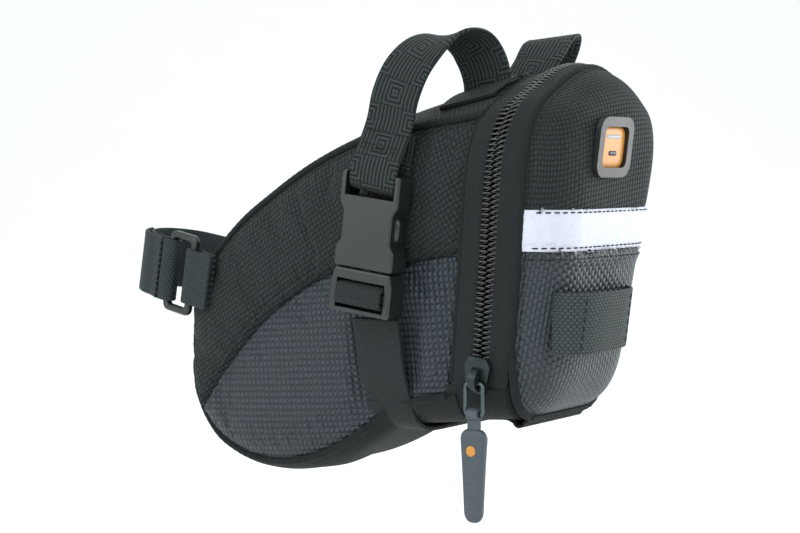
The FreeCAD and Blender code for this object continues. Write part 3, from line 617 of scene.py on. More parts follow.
def metal(name, dark, light, rough=(0.28, 0.5)):
    """Plated metal, rubbed in soft random patches and scratched a little."""
    stuff = Stuff(name, light, metallic=0.9)
    wear = stuff.noise(420.0, 5.0, 0.7)
    grain = stuff.noise(3000.0, 2.0)
    stuff.colour(wear, dark, light)
    stuff.roughness(wear * 0.7 + grain * 0.3, rough[0], rough[1])
    return stuff.relief(grain, 0.02).material


def reflective(name):
    """Silver reflective tape: glass-bead sheen over a fine weave, with light creases."""
    stuff = Stuff(name, (0.7, 0.72, 0.79), roughness=0.4, metallic=0.15)
    u, v = stuff.cloth_uv()
    weave = (u / 0.7).hump() * (v / 0.7).hump()
    beads = stuff.noise(3600.0, 2.0)
    crease = stuff.noise(110.0, 4.0, 0.65)
    # The creases are painted into the colour, lighter on their ridges and darker in their folds: painted
    # highlight and painted shade; the bead speckle is the tape's own grain.
    stuff.colour(crease * 0.75 + beads * 0.25, (0.4, 0.42, 0.49), (0.68, 0.7, 0.79))
    stuff.roughness(beads * 0.5 + crease * 0.5, 0.3, 0.6)
    return stuff.relief(weave * 0.3 + crease * 0.9 + beads * 0.15, 0.22).material


def thread(name, dark, light):
    stuff = Stuff(name, light, sheen=0.03, shine=0.2)
    x, y, z = stuff.place()
    twist = ((x + y * 0.7 + z * 1.3) / 0.42).hump()
    # Colour follows the twist: the ply crowns are painted lighter and the grooves between the plies darker as
    # painted shade.
    stuff.colour(twist, dark, light)
    stuff.roughness(twist, 0.8, 0.55)
    return stuff.relief(twist, 0.08).material


def grey(level, tint=1.0):
    """A near-neutral grey, cooler for tints above 1."""
    return (0.8 * level / tint, level, level * tint)


# For the cloth and thread stuffs, the first colour of each pair is the painted shade in the hollows and the
# second is the raised tops with a painted highlight; for the moulded and metal stuffs, the pair is random tone.
MATERIALS = {
    "woven": woven("woven_nylon", grey(0.003), grey(0.03, 1.09), 1.8, depth=0.4, turn=0.5),
    "lid_woven": woven("woven_nylon_lid", grey(0.003), grey(0.03, 1.08), 1.8, depth=0.4, turn=0.12),
    "coated": coated("coated_fabric", (0.008, 0.0125, 0.018), (0.019, 0.03, 0.042), 2.35, depth=0.85,
                     turn=0.09),
    "brick": coated("coated_brick", (0.009, 0.014, 0.019), (0.024, 0.035, 0.046), 2.0, tall=1.5, brick=True,
                    depth=0.7),
    "twill": twill("twill", grey(0.003), grey(0.018, 1.09)),
    "piping": twill("piping_cloth", grey(0.003), grey(0.016, 1.09), pitch=0.9),
    "tape": herringbone("zip_tape", grey(0.003), grey(0.021, 1.1)),
    "coil": moulded("coil_nylon", grey(0.004), grey(0.012, 1.06), rough=(0.14, 0.28), depth=0.01, coat=0.5),
    "strip": reflective("reflective_tape"),
    "web": ribbed("plain_webbing", grey(0.003), grey(0.03, 1.08)),
    "maze": maze_web("patterned_webbing", grey(0.007), grey(0.04, 1.07)),
    "light_web": ribbed("loop_webbing", grey(0.006), grey(0.07, 1.03), pitch=1.9, rib=1.1, depth=0.45),
    "post_web": ribbed("post_webbing", grey(0.005), grey(0.045, 1.1), pitch=1.3, rib=1.2),
    "binding": herringbone("binding_tape", grey(0.003), grey(0.018, 1.06), pitch=1.5, leg=4.2, depth=0.3),
    "thread": thread("thread", grey(0.004), grey(0.022, 1.06)),
    "buckle": moulded("acetal", grey(0.008, 1.06), grey(0.014, 1.08), rough=(0.24, 0.4), depth=0.03, coat=0.15),
    "border": moulded("patch_rubber", grey(0.008, 1.05), grey(0.014, 1.06), rough=(0.3, 0.5)),
    "inlay": moulded("patch_amber", (0.42, 0.17, 0.02), (0.6, 0.27, 0.04), rough=(0.3, 0.45)),
    "pale": moulded("patch_pale", (0.35, 0.35, 0.37), (0.45, 0.45, 0.47), rough=(0.35, 0.5)),
    "grip": moulded("grip_rubber", (0.034, 0.046, 0.057), (0.05, 0.066, 0.08), rough=(0.4, 0.6), depth=0.05),
    "metal": metal("gunmetal", grey(0.02, 1.04), grey(0.07, 1.05)),
    "wire": metal("plated_wire", grey(0.05, 1.02), grey(0.16, 1.03), rough=(0.2, 0.4)),
}


def dress(piece, material, body, *replaced, slot=None):
    """Give a piece its material, the body it rides on and the CAD solids it stands for."""
    piece.data.materials.clear()
    piece.data.materials.append(MATERIALS[material])
    if body:
        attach(piece, body)
    if replaced:
        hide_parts(*replaced)
    return piece


def line_with_twill(piece):
    """Plain dark lining on the inner face of a piece of thickened cloth."""
    piece.data.materials.append(MATERIALS["twill"])
    piece.modifiers["thickness"].material_offset = 1


# ---------------------------------------------------------------- the bag's surface

def station(base):
    """Section values at base x: lean, low, high, half_low, half_high, r_low, r_across, r_up, crown."""
    return np.moveaxis(catmull(STATIONS[:, 0], STATIONS[:, 1:], base), -1, 0)


def section_ring(base, count, z_end=None):
    """The section at base x as even (y, z) points from low left over the top to low right."""
    low, high, half_low, half_high, r_low, r_across, r_up, crown = station(base)[1:]
    shoulder = high - crown
    angle = np.linspace(0, math.pi / 2, 14)
    corner = half_high - r_across
    low_corner = np.stack([half_low - r_low * (1 - np.sin(angle)), low + r_low * (1 - np.cos(angle))], 1)
    side = np.stack([np.linspace(half_low, half_high, 14), np.linspace(low + r_low, shoulder - r_up, 14)], 1)
    high_corner = np.stack([half_high - r_across * (1 - np.cos(angle)),
                            shoulder - r_up + r_up * np.sin(angle)], 1)
    across = np.linspace(corner, 0, 10)
    top = np.stack([across, shoulder + crown * (1 - (across / corner)**2)], 1)
    half = np.concatenate([low_corner[:-1], side[:-1], high_corner[:-1], top])
    if z_end is None:
        middle = np.stack([np.linspace(0, half_low - r_low, 10), np.full(10, low)], 1)
        half = np.concatenate([middle[:-1], half])
    else:
        start = np.interp(z_end, half[:30, 1], half[:30, 0])
        half = np.concatenate([[(start, z_end)], half[half[:, 1] > z_end + 0.1]])
    ring = np.concatenate([half * (-1, 1), half[::-1][1:]])
    return smooth_path(eased(smooth_path(ring, 420), 60), count)


RING_BASES = np.array([150.0, 163.0, 176.0, 185.0, 192.0])
RING_COUNT = 241
RINGS = np.array([section_ring(base, RING_COUNT, ZIP_END_Z) for base in RING_BASES])


def ring_point(base, share):
    """(y, z) on the section at base x, share of the way round."""
    place = np.clip(np.asarray(share, float), 0, 1) * (RING_COUNT - 1)
    k = np.clip(place.astype(int), 0, RING_COUNT - 2)
    f = (place - k)[..., None]
    i = np.clip(np.searchsorted(RING_BASES, base) - 1, 0, len(RING_BASES) - 2)
    g = ((base - RING_BASES[i]) / (RING_BASES[i + 1] - RING_BASES[i]))[..., None]
    low = RINGS[i, k] * (1 - f) + RINGS[i, k + 1] * f
    high = RINGS[i + 1, k] * (1 - f) + RINGS[i + 1, k + 1] * f
    return low * (1 - g) + high * g


def zip_point(share, offset, proud=0.0, line=None):
    """A point on the shell beside the zip: offset behind the zip line (x), lifted proud of the surface."""
    share, offset = np.broadcast_arrays(np.asarray(share, float), np.asarray(offset, float))
    base = 172.0 + offset
    for _ in range(4):
        yz = ring_point(base, share)
        x = line_x(line or ZIP_LINE, np.minimum(yz[..., 1], 80.0)) + offset
        lean = catmull(STATIONS[:, 0], STATIONS[:, 1], base)
        base = x - lean * yz[..., 1]
    ahead = ring_point(base, share + 0.004) - ring_point(base, share - 0.004)
    out = unit(np.stack([-ahead[..., 1], ahead[..., 0]], -1))
    out = np.where(np.sum(out * (yz - (0, 15)), -1, keepdims=True) < 0, -out, out)
    yz = yz + out * np.asarray(proud)[..., None] if np.ndim(proud) else yz + out * proud
    return np.concatenate([x[..., None], yz], -1)


def piping_half(x):
    return 0.84 * catmull(STATIONS[:12, 0], STATIONS[:12, 5], x)


def piping_z(x, top):
    """Height of the piping at x: where the section is as wide as the piping's spread."""
    x = np.atleast_1d(np.asarray(x, float))
    low, high = station(x)[1:3]
    middle = (low + high) / 2
    other = high if top else low
    inner, outer = middle.copy(), other + 0.0
    for _ in range(40):
        half = (inner + outer) / 2
        wide = half_width(x, half) > piping_half(x)
        inner = np.where(wide, half, inner)
        outer = np.where(wide, outer, half)
    return (inner + outer) / 2


def piping_loop():
    """The left piping as points (x, y, z): from the rear top forward, round the nose, to the rear low."""
    xs = np.concatenate([np.linspace(169.6, 30, 60), np.linspace(28.5, 14.2, 24)])
    upper = np.stack([xs, -piping_half(xs), piping_z(xs, True)], 1)
    xs_low = xs[::-1][:-4]
    xs_low = xs_low[xs_low < 154.8]
    lower = np.stack([xs_low, -piping_half(xs_low), piping_z(xs_low, False)], 1)
    nose_z = np.linspace(upper[-1, 2], lower[0, 2], 8)[1:-1]
    nose = np.stack([np.full(6, 13.9) - 0.4 * np.sin(np.linspace(0, math.pi, 6)),
                     np.full(6, upper[-1, 1]), nose_z], 1)
    loop = smooth_path(np.concatenate([upper, nose, lower]), 400)
    for _ in range(8):
        loop[1:-1] = (loop[:-2] + loop[2:] + 2 * loop[1:-1]) / 4
    return smooth_path(loop, 400)


PIPING = piping_loop()
SEAM = smooth_path(SIDE_SEAM, 300)


def side_corner():
    """Index on the piping where the side seam meets it, and the share of the seam there."""
    front = PIPING[200:, None, ::2] - SEAM[None]
    gap = np.linalg.norm(front, axis=2)
    i, j = np.unravel_index(np.argmin(gap), gap.shape)
    return 200 + i, j


def side_sheet(columns=132, upper_rows=40, lower_rows=30):
    """Both side panels as one grid: low piping, seam and upper piping are rows of it."""
    corner, seam_start = side_corner()
    seam_end = np.argmin(np.abs(SEAM[:, 0] - 161.5))
    share = np.linspace(0, 1, columns)**0.92
    seam = smooth_path(SEAM[seam_start:seam_end], 400)
    seam = seam[(share * 399).astype(int)]
    upper = smooth_path(PIPING[:corner + 1][::-1], 400)[(share * 399).astype(int)]
    lower = smooth_path(PIPING[corner:], 400)[(share * 399).astype(int)]
    rows = []
    for edge, count in ((lower, lower_rows), (upper, upper_rows)):
        t = np.linspace(0, 1, count)[:, None, None]
        flat = seam[None] * (1 - t) + edge[None, :, ::2] * t
        wide = half_width(flat[..., 0], flat[..., 1])
        at_edge = wide[-1] + edge[:, 1]
        gap = np.linalg.norm(flat - edge[None, :, ::2], axis=-1)
        wide = wide - at_edge * np.exp(-(gap / 5.0)**2)
        rows.append(np.stack([flat[..., 0], -wide, flat[..., 1]], -1))
    grid = np.concatenate([rows[0][::-1], rows[1][1:]])
    return grid, lower_rows - 1


# ---------------------------------------------------------------- side panels by cloth simulation

def settle_sides(grid, seam_row):
    """The padded side cloth, blown out a little inside its stitched edges so that it puckers along them."""
    rows, columns = grid.shape[:2]
    rng = np.random.default_rng(4)
    normal = normals_of(grid)
    normal *= np.sign(-normal[..., 1:2])
    start = grid + normal * rng.normal(0, 0.12, (rows, columns, 1))
    piece = make_mesh("side_cloth", (start * 10).reshape(-1, 3), grid_faces(rows, columns))
    pinned = np.zeros((rows, columns))
    pinned[0] = pinned[-1] = 1
    pinned[:, 0] = pinned[:, 1] = 1
    pinned[:, -1] = 1
    pinned[seam_row] = 1
    group = piece.vertex_groups.new(name="sewn")
    group.add([int(i) for i in np.flatnonzero(pinned.ravel())], 1.0, "REPLACE")
    cloth = piece.modifiers.new("cloth", "CLOTH")
    settings = cloth.settings
    settings.quality = 6
    settings.mass = 0.25
    settings.tension_stiffness = 18
    settings.compression_stiffness = 18
    settings.shear_stiffness = 9
    settings.bending_stiffness = 0.8
    settings.air_damping = 4
    settings.shrink_min = -0.022
    settings.use_pressure = True
    settings.uniform_pressure_force = 1.1
    settings.effector_weights.gravity = 0
    settings.vertex_group_mass = "sewn"
    cloth.collision_settings.use_collision = False
    cloth.point_cache.frame_start = 1
    cloth.point_cache.frame_end = 26
    for frame_number in range(1, 27):
        bpy.context.scene.frame_set(frame_number)
    graph = bpy.context.evaluated_depsgraph_get()
    mesh = piece.evaluated_get(graph).data
    settled = np.zeros(rows * columns * 3)
    mesh.vertices.foreach_get("co", settled)
    settled = settled.reshape(rows, columns, 3) / MM / 10
    bpy.data.objects.remove(piece)
    bpy.context.scene.frame_set(1)
    if not np.isfinite(settled).all():
        return grid
    move = settled - grid
    along = np.sum(move * normal, -1, keepdims=True)
    slip = move - along * normal
    x, z = grid[..., 0], grid[..., 2]
    lane = ramp(x, 107, 114) * (1 - ramp(x, 137, 144)) * ramp(-z, 6, 20)
    lane = lane[..., None]
    edge = np.minimum(np.linalg.norm(grid - grid[0], axis=-1), np.linalg.norm(grid - grid[-1], axis=-1))
    held = (1 - np.exp(-(edge / 4.5)**2))[..., None]
    along = np.clip(along * 0.75, -0.8, 1.9) * (1 - lane) * held - 0.7 * lane * held
    return grid + normal * along + np.clip(slip, -0.5, 0.5) * held * (1 - lane)


def refine(grid, times):
    """A grid with its rows and columns made denser by smooth interpolation."""
    rows, columns = grid.shape[:2]
    grid = catmull(np.arange(rows), grid.reshape(rows, -1), np.linspace(0, rows - 1, (rows - 1) * times + 1))
    grid = grid.reshape(-1, columns, 3).swapaxes(0, 1)
    count = grid.shape[1]
    grid = catmull(np.arange(columns), grid.reshape(columns, -1),
                   np.linspace(0, columns - 1, (columns - 1) * times + 1))
    return grid.reshape(-1, count, 3).swapaxes(0, 1)


def build_sides():
    grid, seam_row = side_sheet()
    settled = settle_sides(grid, seam_row)
    fine = refine(settled, 2)
    rest = refine(grid, 2)
    seam = seam_row * 2
    normal = normals_of(rest)
    normal *= np.sign(-normal[..., 1:2])
    to_seam = np.linalg.norm(rest - rest[seam][None], axis=-1)
    to_edge = np.minimum(np.linalg.norm(rest - rest[0][None], axis=-1),
                         np.linalg.norm(rest - rest[-1][None], axis=-1))
    along = np.concatenate([[0], np.cumsum(np.linalg.norm(np.diff(rest[seam], axis=0), axis=1))])[None]
    pucker = 0.12 * np.sin(along * 2 * math.pi / 5.3 + 1.7 * np.sin(along / 19)) * np.exp(-(to_seam / 4.5)**2)
    edge_along = np.cumsum(np.linalg.norm(np.diff(rest[-1], axis=0, prepend=rest[-1][:1]), axis=1))[None]
    pucker += 0.07 * np.sin(edge_along * 2 * math.pi / 6.1 + 2 * np.sin(edge_along / 23)) * np.exp(
        -(to_edge / 5.0)**2)
    groove = -0.75 * np.exp(-(to_seam / 1.1)**2) - 0.5 * np.exp(-(to_edge / 1.6)**2)
    ridge = 0.45 * np.exp(-((to_seam - 2.2) / 1.3)**2)
    rear = rest[..., 0] - line_x(ZIP_LINE, rest[..., 2]) + 11.3
    groove += -0.5 * np.exp(-(rear / 2.2)**2)
    fine = fine + normal * (pucker + groove + ridge)[..., None]
    uv = np.stack([rest[..., 0], rest[..., 2]], -1)
    for side, sign in (("left", 1), ("right", -1)):
        shape = fine * (1, sign, 1)
        for name, part, material, slot in (
                ("lower", slice(0, seam + 1), "coated", "coated_fabric"),
                ("upper", slice(seam, None), "woven", "woven_nylon")):
            piece = cloth_sheet("side_%s_%s" % (side, name), shape[part], uv[part], 1.4, inside=sign > 0)
            dress(piece, material, "bag", "side_panel_%s_%s" % (side, name), slot=slot)
            line_with_twill(piece)
        offsets = (2.1, 4.4)
        rows = []
        for offset in offsets:
            line = []
            for column in range(4, fine.shape[1] - 2):
                gap = to_seam[seam:, column]
                row = seam + int(np.argmin(np.abs(gap[:40] - offset)))
                line.append(fine[row, column])
            path = smooth_path(line, 200) * (1, sign, 1)
            rows.append(stitches("seam_row", path, (0, -sign, 0.15), lift=0.12))
        dress(join("side_stitches_%s" % side, rows), "thread", "bag")
        inside = []
        for column in range(8, fine.shape[1] - 3):
            gap = np.linalg.norm(rest[:, column] - rest[-1, column], axis=-1)[seam:]
            row = seam + int(np.argmin(np.abs(gap - 3.0)))
            inside.append(fine[row, column])
        path = smooth_path(inside, 260) * (1, sign, 1)
        normals = np.tile((0.0, -sign, 0.5), (260, 1))
        dress(stitches("piping_stitches_%s" % side, path, normals, lift=0.1), "thread", "bag")


def build_piping():
    lane = ramp(PIPING[:, 0], 112.5, 115) * (1 - ramp(PIPING[:, 0], 136, 138.5)) * (PIPING[:, 2] < -20)
    for side, sign in (("left", 1), ("right", -1)):
        path = PIPING.copy()
        path[:, 2] += 0.35 * np.sign(path[:, 2] + 30)
        path *= (1, sign, 1)
        radius = 1.55 - 0.85 * lane
        wobble = 0.06 * np.sin(chord(path) * 2 * math.pi / STITCH_PITCH)
        piece = tube("piping_cord_%s" % side, path, radius + wobble, 12)
        dress(piece, "piping", "bag", "piping_%s" % side, slot="piping")


def gusset_sheet(columns=(120, 14, 120), across=29):
    """The strip between the pipings: over the top, round the nose and back underneath."""
    share = np.linspace(-1, 1, across)
    lines = []
    for x in np.linspace(169.3, 14.2, columns[0]):
        y = share * piping_half(x)
        lines.append(("top", x, y))
    for k in range(1, columns[1]):
        lines.append(("nose", k / columns[1], share * piping_half(14.2)))
    for x in np.linspace(14.2, 157.0, columns[2]):
        lines.append(("low", x, share * piping_half(x)))

    def height(x, y, top):
        base = x
        for _ in range(3):
            lean, low, high, half_low, half_high, r_low, r_across, r_up, crown = station(np.full(len(y), base))
            far = np.abs(y)
            if top:
                shoulder = high - crown
                corner = half_high - r_across
                flat = shoulder + crown * np.clip(1 - (far / corner)**2, 0, 1)
                arc = shoulder - r_up + r_up * np.sqrt(np.clip(1 - ((far - corner) / r_across)**2, 0, 1))
                z = np.where(far < corner, flat, arc)
            else:
                corner = half_low - r_low
                arc = low + r_low - r_low * np.sqrt(np.clip(1 - ((far - corner) / r_low)**2, 0, 1))
                z = np.where(far < corner, low, arc)
            base = x - np.mean(lean * z)
        return z

    top_front = height(14.2, share * piping_half(14.2), True)
    low_front = height(14.2, share * piping_half(14.2), False)
    grid = []
    for kind, value, y in lines:
        if kind == "nose":
            z = top_front * (1 - value) + low_front * value
            x = np.full(across, 14.0 - 0.5 * math.sin(value * math.pi))
        else:
            z = height(value, y, kind == "top")
            x = np.full(across, value)
        grid.append(np.stack([x, y, z], -1))
    grid = np.array(grid)
    for _ in range(4):
        grid[1:-1] = (grid[:-2] + grid[2:] + 2 * grid[1:-1]) / 4
        grid[:, 1:-1] = (grid[:, :-2] + grid[:, 2:] + 2 * grid[:, 1:-1]) / 4
    return grid


def build_gusset():
    grid = gusset_sheet()
    normal = normals_of(grid)
    centre = np.array([100.0, 0.0, 0.0])
    if np.mean(np.sum(normal * (grid - centre), -1)) < 0:
        normal = -normal
    rng = np.random.default_rng(9)
    lumps = np.zeros(grid.shape[:2])
    for _ in range(26):
        i = rng.uniform(0, grid.shape[0])
        j = rng.uniform(3, grid.shape[1] - 3)
        rows, cols = np.mgrid[0:grid.shape[0], 0:grid.shape[1]]
        lumps += rng.normal(0, 0.55) * np.exp(-((rows - i) / rng.uniform(5, 14))**2
                                              - ((cols - j) / rng.uniform(3, 8))**2)
    edge = np.minimum(np.arange(grid.shape[1]), np.arange(grid.shape[1])[::-1])[None]
    soft = 1 - np.exp(-(edge / 3.0)**2)
    grid = grid + normal * (lumps * soft - 0.35 * np.exp(-(edge / 0.8)**2))[..., None]
    fine = refine(grid, 2)
    v = np.concatenate([[0], np.cumsum(np.linalg.norm(np.diff(fine[:, fine.shape[1] // 2], axis=0), axis=1))])
    uv = np.stack([fine[..., 1], np.broadcast_to(v[:, None], fine.shape[:2])], -1)
    middle = fine[:, fine.shape[1] // 2]
    first_nose = int(np.argmax(middle[:, 2] < 0.0))
    bottom = np.flatnonzero((middle[:, 0] > 46.0) & (np.arange(len(middle)) > first_nose))[0]
    for name, part, material, slot, node in (
            ("gusset_top", slice(0, first_nose + 1), "woven", "woven_nylon", "top_gusset"),
            ("gusset_nose", slice(first_nose, bottom + 1), "twill", "twill", "nose_gusset"),
            ("gusset_bottom", slice(bottom, None), "twill", "twill", "bottom_gusset")):
        piece = cloth_sheet(name, fine[part], uv[part], 1.6, inside=True)
        outward = np.mean(np.sum(normals_of(fine[part]) * (fine[part] - centre), -1)) > 0
        piece.modifiers["thickness"].offset = -1 if outward else 1
        dress(piece, material, "bag", node, slot=slot)


def build_heel():
    """The cloth that wraps under the bag behind the side panels, from the zip's ends to the hinge."""
    rows = []
    bases = np.linspace(157.0, 182.6, 20)
    for base in bases:
        ring = section_ring(base, 420)
        left = ring[:210][ring[:210, 1] < -36.2]
        right = ring[210:][ring[210:, 1] < -36.2]
        under = smooth_path(np.concatenate([left[::-1], right[::-1][1:]]), 81)
        x = base + catmull(STATIONS[:, 0], STATIONS[:, 1], base) * under[:, 1]
        inset = 0.45 + 0.25 * (base < 163)
        middle = np.array([0.0, 0.0])
        under = under + unit(middle - under) * inset
        rows.append(np.stack([x, under[:, 0], under[:, 1]], 1))
    grid = np.array(rows)
    seam = line_x(LID_SEAM, grid[..., 2]) - 0.4
    grid[..., 0] = np.minimum(grid[..., 0], seam)
    v = np.broadcast_to(chord(grid[10])[None], grid.shape[:2])
    u = np.broadcast_to((bases - bases[0])[:, None], grid.shape[:2])
    outward = np.mean(np.sum(normals_of(grid) * (grid - (165.0, 0, 0)), -1)) > 0
    piece = cloth_sheet("gusset_heel", grid, np.stack([u, v], -1), 1.4, inside=outward)
    dress(piece, "binding", "bag", "bottom_gusset", slot="twill")
    dress(tube("heel_welt", smooth_path(grid[-1], 160), 1.1, 10), "piping", "bag", slot="piping")


# ---------------------------------------------------------------- the zip

def tape_grid(near, far, line, rows=9, count=200, proud=0.0):
    share = np.linspace(0, 1, count)
    grid = []
    for k in range(rows):
        f = k / (rows - 1)
        if line is None:
            grid.append(zip_point(share, near + (far - near) * f, proud))
        else:
            start = zip_point(share, near, proud)
            stop = zip_point(share, 0.0, proud, line)
            grid.append(start * (1 - f) + stop * f)
    return np.array(grid)


def coil_half(name, sign):
    """One half of a spiral coil: nylon loops from the tape to the middle of the zip."""
    share = np.linspace(0, 1, 600)
    spine = zip_point(share, sign * 1.75, 0.5)
    length = chord(spine)[-1]
    turns = int(length / COIL_PITCH)
    per_turn = 14
    t = np.linspace(0, 1, turns * per_turn + 1)
    phase = 2 * math.pi * turns * t + (math.pi if sign > 0 else 0)
    offset = sign * (1.8 + 1.75 * np.cos(phase) * -1)
    lift = 0.45 + 0.75 * np.sin(phase)
    share = np.interp(t * length, chord(spine), share)
    flat = zip_point(share, offset, 0.0)
    raised = zip_point(share, offset, 1.0)
    path = flat + (raised - flat) * lift[:, None]
    return tube(name, path, 0.42, 7)


def build_zip():
    body = tape_grid(-11.6, -3.0, None)
    groove = np.exp(-(np.arange(9)[:, None, None] / 1.1)**2) * 0.5
    normal = normals_of(body)
    inner = body - np.array([0, 0, 10.0])
    inner[..., 0] = 0
    facing = np.sign(np.sum(normal * inner, -1, keepdims=True))
    body = body - normal * facing * groove
    u = np.broadcast_to(np.linspace(0, 8.6, 9)[:, None], body.shape[:2])
    v = np.broadcast_to(chord(body[4])[None], body.shape[:2])
    piece = cloth_sheet("zip_tape_front", body, np.stack([u, v], -1), 1.0, inside=facing.mean() > 0)
    dress(piece, "tape", "bag", "zipper_tape_body", slot="zip_tape")
    dress(coil_half("zip_coil_front", -1), "coil", "bag", "zipper_coil_body", slot="zip_coil")
    lid = tape_grid(3.0, 0.0, LID_SEAM)
    piece_uv = np.stack([np.broadcast_to(np.linspace(0, 9.5, 9)[:, None], lid.shape[:2]),
                         np.broadcast_to(chord(lid[4])[None], lid.shape[:2])], -1)
    piece = cloth_sheet("zip_tape_rear", lid, piece_uv, 1.0, inside=facing.mean() > 0)
    dress(piece, "tape", "lid", "zipper_tape_lid", slot="zip_tape")
    dress(coil_half("zip_coil_rear", 1), "coil", "lid", "zipper_coil_lid", slot="zip_coil")
    share = np.linspace(0.004, 0.996, 500)
    rows = []
    for offset in (-9.6, -6.6):
        path = zip_point(share, offset, 0.1)
        rows.append(stitches("tape_row", path, zip_point(share, offset, 1.0) - path))
    dress(join("tape_stitches_front", rows), "thread", "bag")
    path = zip_point(share, 6.4, 0.1)
    dress(stitches("tape_stitches_rear", path, zip_point(share, 6.4, 1.0) - path), "thread", "lid")
    seam = zip_point(share, -11.8, 0.1)
    dress(tube("body_welt", seam, 1.0, 10), "piping", "bag", slot="piping")


# ---------------------------------------------------------------- lid

def lid_sheet(count=240):
    """The lid's shell: closed rings from its seam back to the middle of its face."""
    bases = [182.5, 185.0, 187.5, 190.0, 192.2, 194.2, 195.8, 197.0, 198.0, 198.6]
    rings = []
    bottom_start = 180.5
    first = section_ring(184.0, count)
    x = np.maximum(line_x(LID_SEAM, np.minimum(first[:, 1], 80.0)), bottom_start)
    x = np.where(first[:, 1] < -44, bottom_start, x)
    rings.append(np.stack([x, first[:, 0], first[:, 1]], 1))
    for base in bases:
        ring = section_ring(base, count)
        x = base + LID_LEAN * ring[:, 1]
        rings.append(np.stack([np.maximum(x, rings[-1][:, 0] + 0.15), ring[:, 0], ring[:, 1]], 1))
    last = rings[-1]
    middle = np.array([-4.0, -13.0])
    for shrink in (0.9, 0.78, 0.64, 0.5, 0.36, 0.22, 0.1, 0.0):
        yz = middle + (last[:, 1:] - middle) * shrink
        x = 198.6 + LID_LEAN * yz[:, 1] + 0.3 * (1 - shrink**2)
        rings.append(np.concatenate([x[:, None], yz], 1))
    grid = np.array(rings)
    grid = eased(grid, 3)
    along = np.arange(len(grid))
    fine = catmull(along, grid.reshape(len(grid), -1), np.linspace(0, len(grid) - 1, (len(grid) - 1) * 4 + 1))
    return fine.reshape(-1, count, 3)


def build_lid():
    grid = lid_sheet()
    base = grid[..., 0] - LID_LEAN * grid[..., 2]
    behind = np.clip(198.6 - base, 0, None)
    side = np.clip(np.abs(grid[..., 1]) / 38.0, 0, 1)**4
    uv = np.stack([grid[..., 1] + np.sign(grid[..., 1]) * behind * side,
                   grid[..., 2] + np.sign(grid[..., 2] - 14) * behind * (1 - side) * 0.9], -1)
    z = grid[..., 2]
    normal = normals_of(grid)
    if np.mean(np.sum(normal * (grid - (180, 0, 14)), -1)) < 0:
        normal = -normal
    normal[-7:] = unit((1.0, 0.0, -LID_LEAN))
    centre_share = np.clip(1 - behind / 8.0, 0, 1)
    seam_low = -0.55 * np.exp(-((z - 11.4) / 0.9)**2) - 0.3 * np.exp(-((z - 26.0) / 0.7)**2)
    ridge = 0.8 * np.exp(-((z - 8.6) / 2.0)**2) * (1 - 0.6 * side)
    dent = 0.3 * np.sin(grid[..., 1] / 5.1 + 0.8) * np.exp(-((z - 5.0) / 6.0)**2) * centre_share
    wave = 0.22 * np.sin(grid[..., 1] / 7.3) * np.sin(z / 8.7 + 1.0) * centre_share
    edge = -0.4 * np.exp(-((base - 181.5) / 2.0)**2)
    grid = grid + normal * (seam_low + ridge + dent + wave + edge)[..., None]
    rows, columns = grid.shape[:2]
    middle = Vector((0.18, 0.0, 0.014))

    def cut(name, low, high, proud=0.0):
        wrapped = np.concatenate([grid, grid[:, :1]], axis=1)
        wrapped_uv = np.concatenate([uv, uv[:, :1]], axis=1)
        faces = grid_faces(rows, columns + 1)
        piece = make_mesh(name, wrapped.reshape(-1, 3), faces, wrapped_uv.reshape(-1, 2))
        work = bmesh.new()
        work.from_mesh(piece.data)
        for level, up in ((low, -1), (high, 1)):
            if level is not None:
                everything = work.verts[:] + work.edges[:] + work.faces[:]
                bmesh.ops.bisect_plane(work, geom=everything, plane_co=(0.19, 0, level * MM),
                                       plane_no=(0, 0, up), clear_outer=True)
        bmesh.ops.remove_doubles(work, verts=work.verts[:], dist=1e-6)
        bmesh.ops.dissolve_degenerate(work, edges=work.edges[:], dist=1e-6)
        work.to_mesh(piece.data)
        work.free()
        piece.data.polygons.foreach_set("use_smooth", [True] * len(piece.data.polygons))
        if sum(v.normal.dot(v.co - middle) for v in piece.data.vertices) < 0:
            piece.data.flip_normals()
        normals = [v.normal.copy() for v in piece.data.vertices]
        for v, way in zip(piece.data.vertices, normals):
            v.co += way * (proud * MM)
        solid = piece.modifiers.new("thickness", "SOLIDIFY")
        solid.thickness = 1.5 * MM
        solid.offset = -1
        return piece

    top = dress(cut("lid_top_cloth", 25.6, None), "lid_woven", "lid", "lid_upper_panel", slot="woven_nylon")
    stripe = dress(cut("lid_stripe", 11.8, 26.1, proud=0.45), "strip", "lid", "reflective_strip",
                   slot="reflective")
    low = dress(cut("lid_low_cloth", -47.0, 12.4), "brick", "lid", "lid_lower_panel", slot="coated_fabric")
    for piece in (top, low, stripe):
        line_with_twill(piece)
    return grid


def surface_tree(names):
    """Search tree over the outer faces of some pieces, in metres."""
    verts = []
    faces = []
    for name in names:
        mesh = bpy.data.objects[name].data
        start = len(verts)
        verts += [tuple(v.co) for v in mesh.vertices]
        faces += [tuple(start + i for i in p.vertices) for p in mesh.polygons]
    return BVHTree.FromPolygons(verts, faces)


def on_surface(tree, points, direction):
    """Points dropped along a direction on to a surface; also returns the surface's outward normals."""
    found = []
    normals = []
    d = Vector(direction).normalized()
    for p in points:
        start = Vector([c * MM for c in p]) - d * 0.06
        place, normal, _, _ = tree.ray_cast(start, d, 0.2)
        if place is None:
            place, normal, _, _ = tree.find_nearest(Vector([c * MM for c in p]))
        if normal.dot(d) > 0:
            normal = -normal
        found.append(np.array(place) / MM)
        normals.append(np.array(normal))
    return np.array(found), np.array(normals)


# ---------------------------------------------------------------- light loop, patch, lid trim

